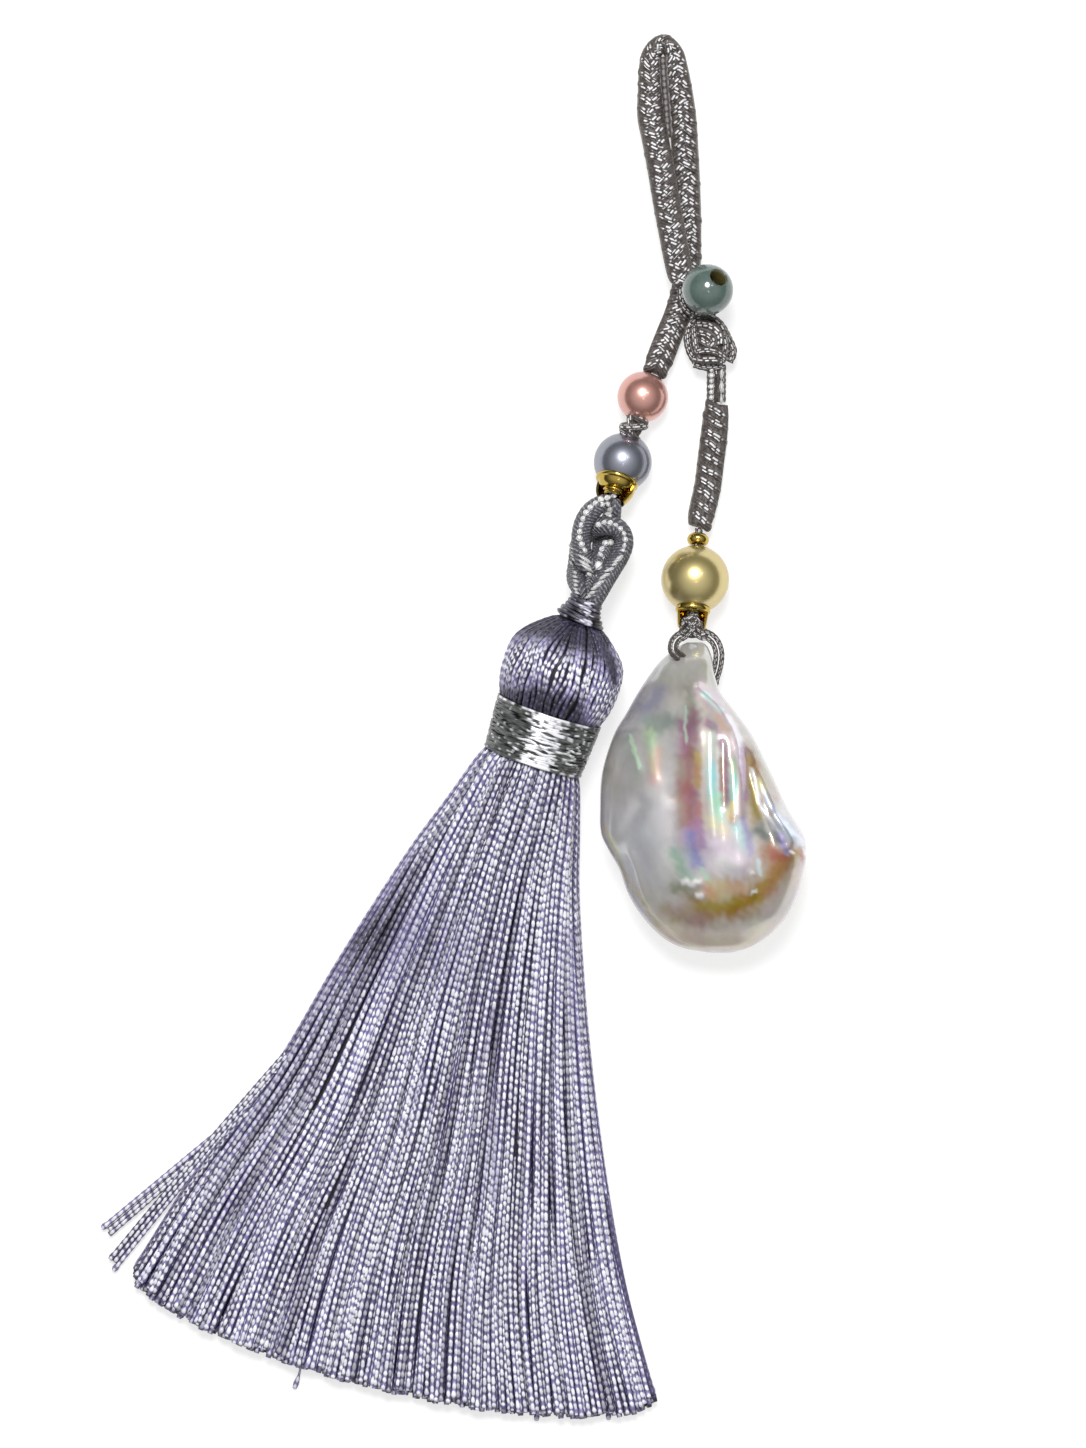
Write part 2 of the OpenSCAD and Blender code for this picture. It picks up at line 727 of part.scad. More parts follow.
// The locks' backing begins as the bundle of threads inside the band
module skirt_body() {
    count = 2 * skirt_locks;
    sides = 2 * count;
    rings = concat(
        [
            axis_ring(band_from, waist_r, sides),
            axis_ring(band_to + gap, waist_r, sides),
            axis_ring(band_to + gap, band_end_d / 2 - gap, sides)
        ],
        [
            for (k = [0 : skirt_steps])
                let (u = k / skirt_steps * (len(skirt_sections) - 1))
                skirt_ring(smooth_at(skirt_sections, u), count, k == skirt_steps ? 1 : 0)
        ]
    );
    last = len(rings) - 1;
    walls = [
        for (k = [0 : last - 1], j = [0 : sides - 1])
            let (a = k * sides + j, b = k * sides + (j + 1) % sides)
            each [[a, b, b + sides], [a, b + sides, a + sides]]
    ];
    faces = concat(across_cap(0, count), walls, turned(across_cap(last * sides, count)));
    polyhedron([for (r = rings) each r], faces, convexity = 10);
}

module tassel_skirt() {
    color(silk_colour) {
        skirt_body();
        for (route = stray_routes) cord(route, stray_d, 2.4);
    }
}

hanging_braid();
eye_loop();
jade_bead();
bead_stem();
button_knot();
twin_cord();
drop_braid();
gold_spacer();
golden_pearl();
gold_cup();
drop_thread();
cup_knot();
pearl_loop();
baroque_pearl();
pink_pearl();
mid_knot();
grey_pearl();
gold_cap();
tassel_thread();
cap_loop();
tassel_loop();
neck_binding();
tassel_head();
waist_band();
tassel_skirt();
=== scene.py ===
"""Looks of the pearl tassel charm. Shapes are worked out in millimetres and made in metres."""
import math

import bpy
import numpy as np
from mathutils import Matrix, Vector


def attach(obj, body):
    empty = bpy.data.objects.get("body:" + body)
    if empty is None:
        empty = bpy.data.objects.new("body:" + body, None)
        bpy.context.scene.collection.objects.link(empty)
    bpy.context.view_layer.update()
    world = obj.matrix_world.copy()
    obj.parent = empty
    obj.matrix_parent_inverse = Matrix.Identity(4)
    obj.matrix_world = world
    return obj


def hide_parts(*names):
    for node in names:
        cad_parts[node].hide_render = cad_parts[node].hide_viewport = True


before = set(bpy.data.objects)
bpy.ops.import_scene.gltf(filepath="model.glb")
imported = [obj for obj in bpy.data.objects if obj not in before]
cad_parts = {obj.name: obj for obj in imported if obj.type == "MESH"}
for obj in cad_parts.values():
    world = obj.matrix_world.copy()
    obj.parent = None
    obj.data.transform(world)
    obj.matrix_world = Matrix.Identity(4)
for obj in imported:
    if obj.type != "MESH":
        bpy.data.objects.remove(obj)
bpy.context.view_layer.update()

MM = 0.001
TURN = 2 * math.pi
UP = np.array((0, 0, 1.0))

# Braid and cords
BRAID_W = 2.9
BRAID_T = 2.1
KNOT_PITCH = 1.2
FINGER_R = 0.53
FINGER_FLAT = 0.76
RIBBON_INSET = 0.17
CORD_D = 0.95
FINE_CORD_D = 0.52
EYE_CORD_D = 0.75
THREAD_D = 0.8
LOOP_D = 1.95

# Beads and round pearls
BORE_D = 1.4
BALL_ROWS = 46
BALL_SIDES = 72
GOLD_SIDES = 96
SHARP_ANGLE = 38
SPACER_D = 2.2
SPACER_H = 1.2
GREY_D = 5.8
GREY_AT = np.array([16.9, 26.5, GREY_D / 2])
GREY_AXIS = np.array([-0.269, -0.887, 0.375])
GOLDEN_D = 6.8
GOLDEN_AT = np.array([24.1, 14.8, GOLDEN_D / 2])
GOLDEN_AXIS = np.array([-0.075, -0.958, 0.276])
SPACER_AT = GOLDEN_AT - (GOLDEN_D / 2 + 0.75) * GOLDEN_AXIS
# Columns: piece, material, node, middle, way of the hole, diameter, radius of the hole's mouths
BALLS = [
    ["jade_ball", "jade", "jade_bead", (25.3, 43.5, 6.05), (0.44, 0.48, 0.76), 5.1, 1.0],
    ["pink_pearl_ball", "pink_pearl", "pink_pearl", (18.9, 33, 2.55), (-1.95, -4.1, 0.35), 5.1, 0.8],
    ["grey_pearl_ball", "grey_pearl", "grey_pearl", GREY_AT, GREY_AXIS, GREY_D, 0.8],
    ["golden_pearl_ball", "golden_pearl", "golden_pearl", GOLDEN_AT, GOLDEN_AXIS, GOLDEN_D, 0.8],
]

# Baroque pearl
BAROQUE_AT = (14.6, 8.5)
BAROQUE_L = 30.8
BAROQUE_W = 20.5
BAROQUE_T = 13.0
CREST_ASIDE = 0.42
NACRE_LIFT = 0.74
# A darker beige band along the pearl's rim, painted shade: where it lies, how wide, how strong and its
# colour.
RIM_AT = 0.86
RIM_SPREAD = 0.11
RIM_STRENGTH = 0.6
RIM_TINT = (150, 138, 120)

# Tassel
HEAD_D = 12.1
HEAD_AT = np.array([11.0, 5.9, HEAD_D / 2 + 0.1])
HEAD_THREADS = 80
HEAD_CORE_INSET = 0.35
TASSEL_TURN = math.radians(18.5)
TASSEL_DIP = math.radians(6)
TASSEL_AXIS = -np.array([
    math.sin(TASSEL_TURN) * math.cos(TASSEL_DIP),
    math.cos(TASSEL_TURN) * math.cos(TASSEL_DIP),
    math.sin(TASSEL_DIP),
])
BAND_FROM = 4.4
BAND_H = 5.3
BAND_D = 10.75
BAND_END_D = 10.05
BAND_TURNS = 26
BINDING_TURNS = 15
BINDING_RIDGES = 5
HOOP_PITCH = 0.8
THREAD_R = 0.27
DASH_PITCH = 0.85
LAYERS = 5
LAYER_STEP = 0.42
BURIED = 0.95
STRANDS = 106
PARTINGS = 36
PARTING_REACH = 0.34
INNER_STRANDS = 96
INNER_DEPTHS = (0.8, 1.35)
CORE_DEPTH = 0.95
SKIRT_L = 62.0
SKIRT_ROWS = 61
SKIRT_COLUMNS = 240
STRAND_POINTS = 240

# Light and camera. The photograph is 1086 by 1448 pixels, 10 to the millimetre
VIEW_H = 144.8
VIEW_AT = (8.95, 0.4)
CAMERA_HEIGHT = 800
WALL_LIGHT = 0.08
CEILING_LIGHT = 0.68

# Columns of the routes: x, y, z of the centreline, and in some the width as a share of the full one
HANGING_ROUTE = [
    [20.1, 35.55, 2.1, 0.85], [20.65, 36.9, 1.7, 1], [21.5, 39.1, 1.2, 1], [22.4, 41.3, 1.1, 1],
    [23.1, 43.7, 1.1, 1], [23.35, 46.5, 1.1, 1], [23.4, 50, 1.1, 1], [23.3, 54, 1.1, 1], [23.1, 58, 1.1, 1],
    [22.9, 61, 1.1, 1], [22.6, 63.6, 1.1, 0.95], [22.25, 66, 1.1, 0.86], [22, 67.4, 1.1, 0.74],
    [20.95, 68.4, 1.1, 0.7], [19.85, 67.4, 1.1, 0.74], [19.65, 66, 1.1, 0.84], [19.65, 63.6, 1.15, 0.92],
    [19.7, 61.2, 1.45, 1], [20.1, 59, 2.05, 1], [20.55, 56.6, 2.6, 1], [20.95, 54.2, 2.95, 1],
    [21.35, 51.8, 3.15, 1], [21.8, 49.4, 3.3, 1], [22.25, 47, 3.4, 1], [22.6, 45.2, 3.4, 0.95],
    [22.75, 44.5, 3.4, 0.8],
]
DROP_ROUTE = [
    [26.3, 32.3, 1.2, 0.85], [26.2, 31, 1.1, 0.95], [26, 29, 1.1, 1], [25.7, 26.6, 1.1, 1],
    [25.4, 24.2, 1.2, 1], [24.95, 22.2, 1.45, 1], [24.65, 20.9, 1.75, 0.95], [24.5, 20.15, 1.9, 0.8],
]
EYE_ROUTE = [
    [22.75, 44.1, 3.55], [22.7, 43.1, 3.25], [22.95, 42.2, 2.95], [23.5, 41.5, 2.85], [24.25, 41.25, 2.85],
    [24.95, 41.6, 2.9], [25.25, 42.4, 2.9], [24.95, 43.2, 2.9], [24.3, 43.6, 2.85], [23.65, 43.8, 2.85],
]
STEM_ROUTE = [
    [25.35, 41.6, 1.6], [24.85, 41.95, 1.8], [24.4, 42.3, 2.35], [24.22, 42.3, 3], [24.12, 42.22, 3.75],
    [24.6, 42.74, 4.85], [25.3, 43.5, 6.05], [25.8, 44.05, 6.9],
]
# Columns: y, z
TWIN_ROUTE = [[36.2, 2.2], [35.2, 1.9], [34.3, 1.5], [33.4, 1.3], [32.55, 1.2]]
# Columns: x, and the pitch and the radius of the beads on the cord
TWIN_CORDS = [[25.75, 0.55, 0.27], [26.75, 1.3, 0.17]]
PINK_THREAD_ROUTE = [[19.95, 35.2, 2.4], [18.9, 33, 2.55], [17.95, 31, 2.7]]
# Columns of the pearl's cord loops: x, y, z of the line between two turns, and the way to the outer one
LOOP_LEFT_ROUTE = [
    [24.2, 10.4, 5.9, 0.3, 1, 0], [23.6, 9.8, 5.75, 0, 1, 0], [22.9, 9.2, 5, 0, 1, 0],
    [22.5, 9.1, 5.2, -0.4, 0.9, 0], [22.05, 8.65, 5.8, -0.8, 0.6, 0], [21.85, 8.05, 6.7, -1, 0, 0],
    [21.95, 7.55, 7.4, -0.95, -0.3, 0], [22.35, 7.2, 7.2, -0.7, -0.7, 0], [22.9, 6.75, 6.6, -0.64, -0.77, 0],
    [23.8, 6, 5.55, -0.64, -0.77, 0],
]
LOOP_RIGHT_ROUTE = [
    [23.2, 10.4, 5.95, -0.3, 1, 0], [23.9, 9.75, 5.6, 0, 1, 0], [24.7, 9.25, 5, 0, 1, 0],
    [25.35, 9.2, 4.95, 0.45, 0.9, 0], [26.05, 8.6, 4.75, 0.8, 0.6, 0], [26.42, 7.65, 4.4, 0.98, 0.2, 0],
    [26.42, 6.65, 4, 1, 0, 0], [26.25, 5.75, 3.3, 1, -0.1, 0], [26, 4.95, 2.65, 0.98, -0.15, 0.15],
    [25.9, 4.4, 2.7, 0.89, -0.17, 0.43], [25.5, 4.6, 3.55, 0.82, 0.33, 0.47],
    [25, 5.03, 4.15, 0.82, 0.33, 0.47], [24.5, 5.44, 4.72, 0.82, 0.33, 0.47],
]
LOOP_APART = 0.3
PEARL_KNOT_FILLING = [[22.5, 9.6, 4.7], [23.8, 9.3, 4.9], [25.3, 9.5, 4.7]]
CAP_LOOP_ROUTE = [
    [15.55, 22.75, 4.75, 0.5], [14.95, 22.45, 5.2, 0.8], [13.9, 21.7, 5.45, 1], [13.1, 20.6, 5.55, 1],
    [12.75, 19.3, 5.6, 1], [12.75, 18.1, 5.7, 1], [12.85, 17, 5.75, 1], [13.35, 16.2, 5.6, 1],
    [14.1, 16.2, 4.9, 1], [14.8, 17, 4, 1], [15.35, 18.1, 3.4, 1], [15.6, 19.2, 3.2, 1],
    [15.65, 20.1, 3.25, 1], [15.75, 20.9, 3.65, 1], [15.95, 21.6, 4.3, 0.85], [16.1, 22.2, 4.7, 0.7],
    [16.15, 22.75, 4.7, 0.5],
]
TASSEL_LOOP_ROUTE = [
    [13.8, 12.1, 6.8, 0.8], [14.2, 12.87, 6.95, 0.9], [14.6, 13.75, 6.8, 1], [15.2, 14.8, 6.35, 1],
    [15.9, 15.95, 5.85, 1], [16.5, 16.95, 5.5, 1], [16.95, 18.1, 5.4, 1], [16.9, 19.1, 5.45, 1],
    [16.35, 19.85, 5.55, 1], [15.6, 20.1, 5.5, 1], [15, 20.1, 5.1, 1], [14.4, 20, 4.45, 1],
    [13.8, 19.75, 3.85, 1], [13.15, 19.2, 3.6, 1], [12.65, 18.4, 3.6, 1], [12.5, 17.4, 3.65, 1],
    [12.4, 16.4, 3.85, 1], [12.25, 15.5, 4.35, 1], [12.25, 14.85, 5.1, 1], [12.35, 14.25, 6.1, 0.9],
    [12.57, 13.65, 6.8, 0.75], [12.85, 12.5, 6.8, 0.6],
]
# Dark cords in the gap at the braid's fold, the hole inside the cap's loop and between the tassel loop's
# legs: painted shade.
FOLD_FILLING = [[20.95, 67, 0.9], [21.1, 64.5, 0.9], [21.3, 62, 0.9], [21.5, 59, 0.9]]
LOOP_FILLING = [[14.5, 19.3, 2.6], [14.55, 18.3, 2.5], [14.4, 17.3, 2.9]]
FOOT_FILLING = [[13.3, 12.4, 6.4, 1], [13.4, 13.7, 6.1, 1], [13.7, 14.9, 5.5, 0.7], [13.9, 15.7, 4.9, 0.4]]
STRAY_ROUTES = [
    [[-12.5, -31.6, 1.9], [-19.5, -37.4, 1.7], [-24.9, -41.9, 1.2], [-30.2, -46.4, 0.8], [-36, -51.3, 0.5]],
    [[-16.5, -32.5, 1.9], [-22, -38.9, 1.7], [-26.4, -44.2, 1.2], [-30.3, -48.9, 0.8], [-34.6, -54.2, 0.5]],
]
# A line in the tables below is one in the top view: x and y of each of its points
# Columns of the rows of white beads, painted highlights, on the two linked loops: line, pitch, radius
HIGHLIGHT_BEADS = [
    [[16.3, 23.1, 14.6, 22.6, 13.6, 21.8, 13.1, 21.1, 12.8, 20.4, 12.65, 19.7, 12.55, 19, 12.8, 18.2,
      13.2, 17.4], 0.66, 0.31], [[14.6, 22, 15.3, 22.3, 15.6, 21.6, 15.5, 21], 0.6, 0.26],
    [[14.2, 20, 14.8, 20.35, 15.6, 20.35, 16.3, 20.05, 16.85, 19.5, 17.1, 18.9, 17.05, 18.2, 16.85, 17.5],
      0.6, 0.25], [[15.9, 18.2, 15.4, 18.6, 14.95, 18, 14.6, 17.3, 15, 16.9], 0.66, 0.3],
    [[14.6, 16.5, 14.2, 15.7], 0.9, 0.48], [[15.1, 21.3, 15.7, 21.2], 0.7, 0.25],
]
# Columns of the rows of slanting dashes, painted highlights: where the row starts and ends, how many, reach
# of a dash, radius
LOOP_SLANTS = [
    [(16.75, 17.1), (13.3, 12.9), 12, (0.4, 0.15), 0.165],
    [(12.1, 15.6), (12.3, 13.2), 6, (-0.26, 0.1), 0.15], [(11.75, 18.2), (11.8, 16.2), 5, (-0.2, 0.26), 0.11],
    [(13, 17), (13.4, 15.6), 3, (0.62, -0.42), 0.17], [(13.5, 15.4), (13.7, 15), 1, (0.3, -0.2), 0.26],
]
# Columns of the button knot's cords: line, radius, how far it lies above the ball
KNOT_CORDS = [
    [[23.55, 40, 23.35, 38.9, 23.6, 37.6, 24.2, 36.5], 0.42, -0.15],
    [[23.9, 41.3, 25, 41.4, 26.1, 41], 0.5, -0.5],
    [[23.7, 40.3, 24.6, 40.95, 25.7, 40.9, 26.6, 40.2, 27.3, 39, 27.9, 37.6, 27.5, 36.5], 0.42, 0],
    [[24, 40.2, 24.05, 39, 24.2, 37.8, 24.6, 36.7], 0.4, 0.2],
    [[24.5, 40.2, 25.5, 40, 26.4, 39.2, 26.5, 38.2], 0.5, 0.25],
    [[24.6, 39.4, 25.4, 39.1, 25.9, 38.5, 25.6, 38], 0.5, 0.35],
    [[24.7, 38.6, 25.3, 38.2, 26.2, 37.95], 0.42, 0.2],
    [[26.7, 39.4, 27.1, 38.4, 27, 37.2, 26.7, 36.5], 0.42, 0.15],
    [[24.4, 37.5, 25.2, 37.6, 26.2, 37.4, 27, 36.9], 0.42, 0.25],
    [[24, 36.9, 25, 36.7, 26.2, 36.7, 27.1, 36.4], 0.45, 0.2],
    [[24, 36.3, 25.1, 36, 26.3, 36, 27, 36.2], 0.4, 0],
]
# Columns of the small knots: piece, node, middle, way of the cord through it, radius and stretch of the ball
# inside, radius and stretch of the turns, seed, and the turns, whose columns wind() names
SMALL_KNOTS = [
    ["mid_knot_cords", "mid_knot", (18, 29.95, 2.95), (0.3, 1, 0), (0.9, 1.2), (1.4, 1.2), 32, [
        [0.2, 0.1, 1, 0.85, 0.42, 0.05], [-0.3, 0.1, 1, 0.1, 0.42, 0.12], [0.25, 0, 1, -0.75, 0.42, 0.06],
        [0.9, 0.2, 0.5, -0.1, 0.36, 0.06],
    ]],
    ["cup_knot_cords", "cup_knot", GOLDEN_AT + 4.7 * GOLDEN_AXIS, GOLDEN_AXIS, (0.65, 0.8), (1.12, 0.9), 33, [
        [0.7, 0.1, 0.7, 0.3, 0.36, 0.05], [0.7, -0.1, -0.7, 0.3, 0.36, 0.12],
        [0.7, 0.1, 0.75, -0.42, 0.34, 0.05], [0.7, 0.1, -0.75, -0.42, 0.34, 0],
    ]],
]

# Columns of the skirt's sections: left edge x, y, right edge x, y, middle height, half height,
# squareness, and how far the middle sags towards the fringe
SKIRT_SECTIONS = [
    [3.88, -1.05, 12.5, -3.93, 5.22, 4.5, 2, 0], [3.34, -1.71, 12.54, -4.79, 5.14, 4.75, 2, 0],
    [2.2, -2.9, 12.7, -6.3, 4.9, 4.85, 2, 0], [-0.75, -7, 12.7, -11, 4.1, 4.05, 2.1, 0],
    [-4.65, -12.3, 12.7, -17.4, 3.25, 3.25, 2.2, 0.4], [-11.5, -22.9, 13.6, -30.1, 2.4, 2.4, 2.5, 1.8],
    [-17.85, -33.5, 15.15, -42.8, 1.9, 1.9, 2.8, 3.2], [-25.85, -44.1, 17.4, -55.5, 1.55, 1.55, 3.2, 4.6],
    [-32.5, -54.5, 20.6, -67.3, 1.35, 1.35, 3.6, 5.8],
]
# Columns of the head's outline: distance along the axis, radius as a share of the head's
HEAD_OUTLINE = [
    [-4.95, 0.2], [-4.85, 0.34], [-4.6, 0.45], [-4.1, 0.57], [-3.6, 0.67], [-3, 0.78], [-2.4, 0.87],
    [-1.7, 0.945], [-0.9, 0.985], [0.1, 1], [1.1, 1], [2.1, 0.985], [3.2, 0.945], [4.3, 0.875],
]
# Columns of the binding's outline: distance along the axis, radius
BINDING_OUTLINE = np.array([[-7.2, 1.5], [-6.7, 1.5], [-6.2, 1.6], [-5.8, 1.8], [-5.4, 2.15], [-5.0, 2.3]])
# Columns of the patches of painted light and shade: line, half width, how much more of the painted highlight
# dashes shows
HEAD_PATCHES = [
    [[5.2, 6.9, 8.4, 6.7, 10.6, 5.6, 12.8, 5.1, 14.6, 3.9, 15.2, 1.6], 1.55, 1.2],
    [[16, 7.8, 16.6, 5.2, 15.8, 2.2], 0.5, 0.7], [[5.2, 4.8, 7, 4.6], 0.8, 0.3],
    [[15.6, 6.6, 15.9, 4.4], 0.35, -0.9],
]
SKIRT_PATCHES = [
    [[-12.4, -20.2, -1.5, -21.8], 4.6, -0.45], [[-22.4, -42, -21.4, -47.7], 3.5, -0.25],
    [[-5, -14, -8.7, -20.5, -14.2, -28.3, -19.8, -37.7], 3.2, -0.42], [[14.2, -33.2, 16.7, -50.2], 1.3, -0.3],
    [[11.7, -21, 12.2, -31], 1.2, -0.35], [[3.9, -28, 4.2, -47], 0.5, -0.6], [[7.7, -6, 8, -12], 5, 0.2],
    [[-6, -38, 3, -43], 7, 0.14], [[12, -62, 17, -64], 4, 0.12],
]
# Columns of the strands' waves: strands from lock to lock, how many strands aside, turns along the skirt
LOCK_WAVES = [[31, 0.7, 0.3], [17.3, 0.42, 0.5], [9.7, 0.2, 0.7], [5.1, 0.1, 1.2]]
# Threads that hang out of the fringe: where each starts and ends in the top view
LOOSE_THREADS = [[-15.2, -62.6, -15.9, -66], [8, -66.6, 8.3, -69.2], [15, -66.6, 15.5, -69.1]]

# Columns of the baroque pearl's sections, as shares of its length, width and thickness:
# distance from the neck, left edge, right edge, underside, top side
BAROQUE_SECTIONS = [
    [0, 0.42, 0.5, 0.36, 0.42], [0.015, 0.375, 0.525, 0.3, 0.47], [0.055, 0.3, 0.545, 0.22, 0.58],
    [0.1, 0.245, 0.555, 0.16, 0.66], [0.16, 0.185, 0.585, 0.1, 0.75], [0.225, 0.13, 0.66, 0.06, 0.83],
    [0.3, 0.065, 0.74, 0.03, 0.91], [0.42, 0.01, 0.83, 0.005, 0.97], [0.535, 0, 0.91, 0, 1],
    [0.615, 0.005, 0.985, 0, 1], [0.675, 0.045, 1, 0.005, 0.975], [0.735, 0.095, 0.99, 0.02, 0.94],
    [0.81, 0.135, 0.96, 0.06, 0.86], [0.885, 0.205, 0.905, 0.13, 0.75], [0.95, 0.3, 0.81, 0.24, 0.61],
    [0.985, 0.4, 0.72, 0.33, 0.53], [1, 0.52, 0.64, 0.41, 0.46],
]
# Columns of the pearl's folds: line, half width, height
BAROQUE_FOLDS = [
    [[24.2, 3, 25.6, -11], 1.3, 0.45], [[27.2, -0.5, 28.2, -13], 1.2, 0.45],
    [[30.2, -4.5, 33.4, -11.2], 1, 0.6], [[28.9, -3, 31.4, -10], 0.8, -0.5], [[19, -6, 20.5, -14], 2.2, 0.35],
    [[22.4, -7, 22.5, -12], 1.3, -0.3], [[17.5, -12.5, 19, -17], 0.5, 0.25],
    [[16.4, -11.4, 18.6, -7.6], 0.9, -0.45],
    [[24.3, 4, 26.2, 2.4, 27.7, 0.2, 28.4, -3.2, 28.3, -8.5], 0.4, 0.22],
    [[25.5, -0.3, 25.4, -5.5, 25.8, -10.5], 0.45, 0.2], [[26.7, -1.5, 26.8, -7.5], 0.35, -0.22],
    [[27.7, -3.3, 27.7, -9.2], 0.3, 0.14], [[19.5, -1.2, 19.9, -5], 0.5, 0.1],
    [[17.7, -0.8, 18.4, -3.9], 0.4, 0.14], [[29.6, -4, 30.3, -7.5, 32.4, -11], 0.3, 0.2],
    [[31.8, -8.6, 34.4, -11.6], 0.6, 0.35], [[33, -11.8, 34.9, -12.6], 0.4, 0.2],
    [[30.4, -10.2, 31.5, -11], 0.9, -0.3], [[23, -15.2, 24.2, -15.3], 0.6, 0.2],
    [[24.2, -16.6, 24.6, -16.5], 0.4, 0.15], [[29.5, -14.3, 29.7, -16.2], 0.4, 0.12],
    [[25.5, -12, 28, -13.8], 1.6, 0.3],
]
# Nacre between its zones of colour, as a screen shows it
NACRE_BASE = (206, 203, 201)
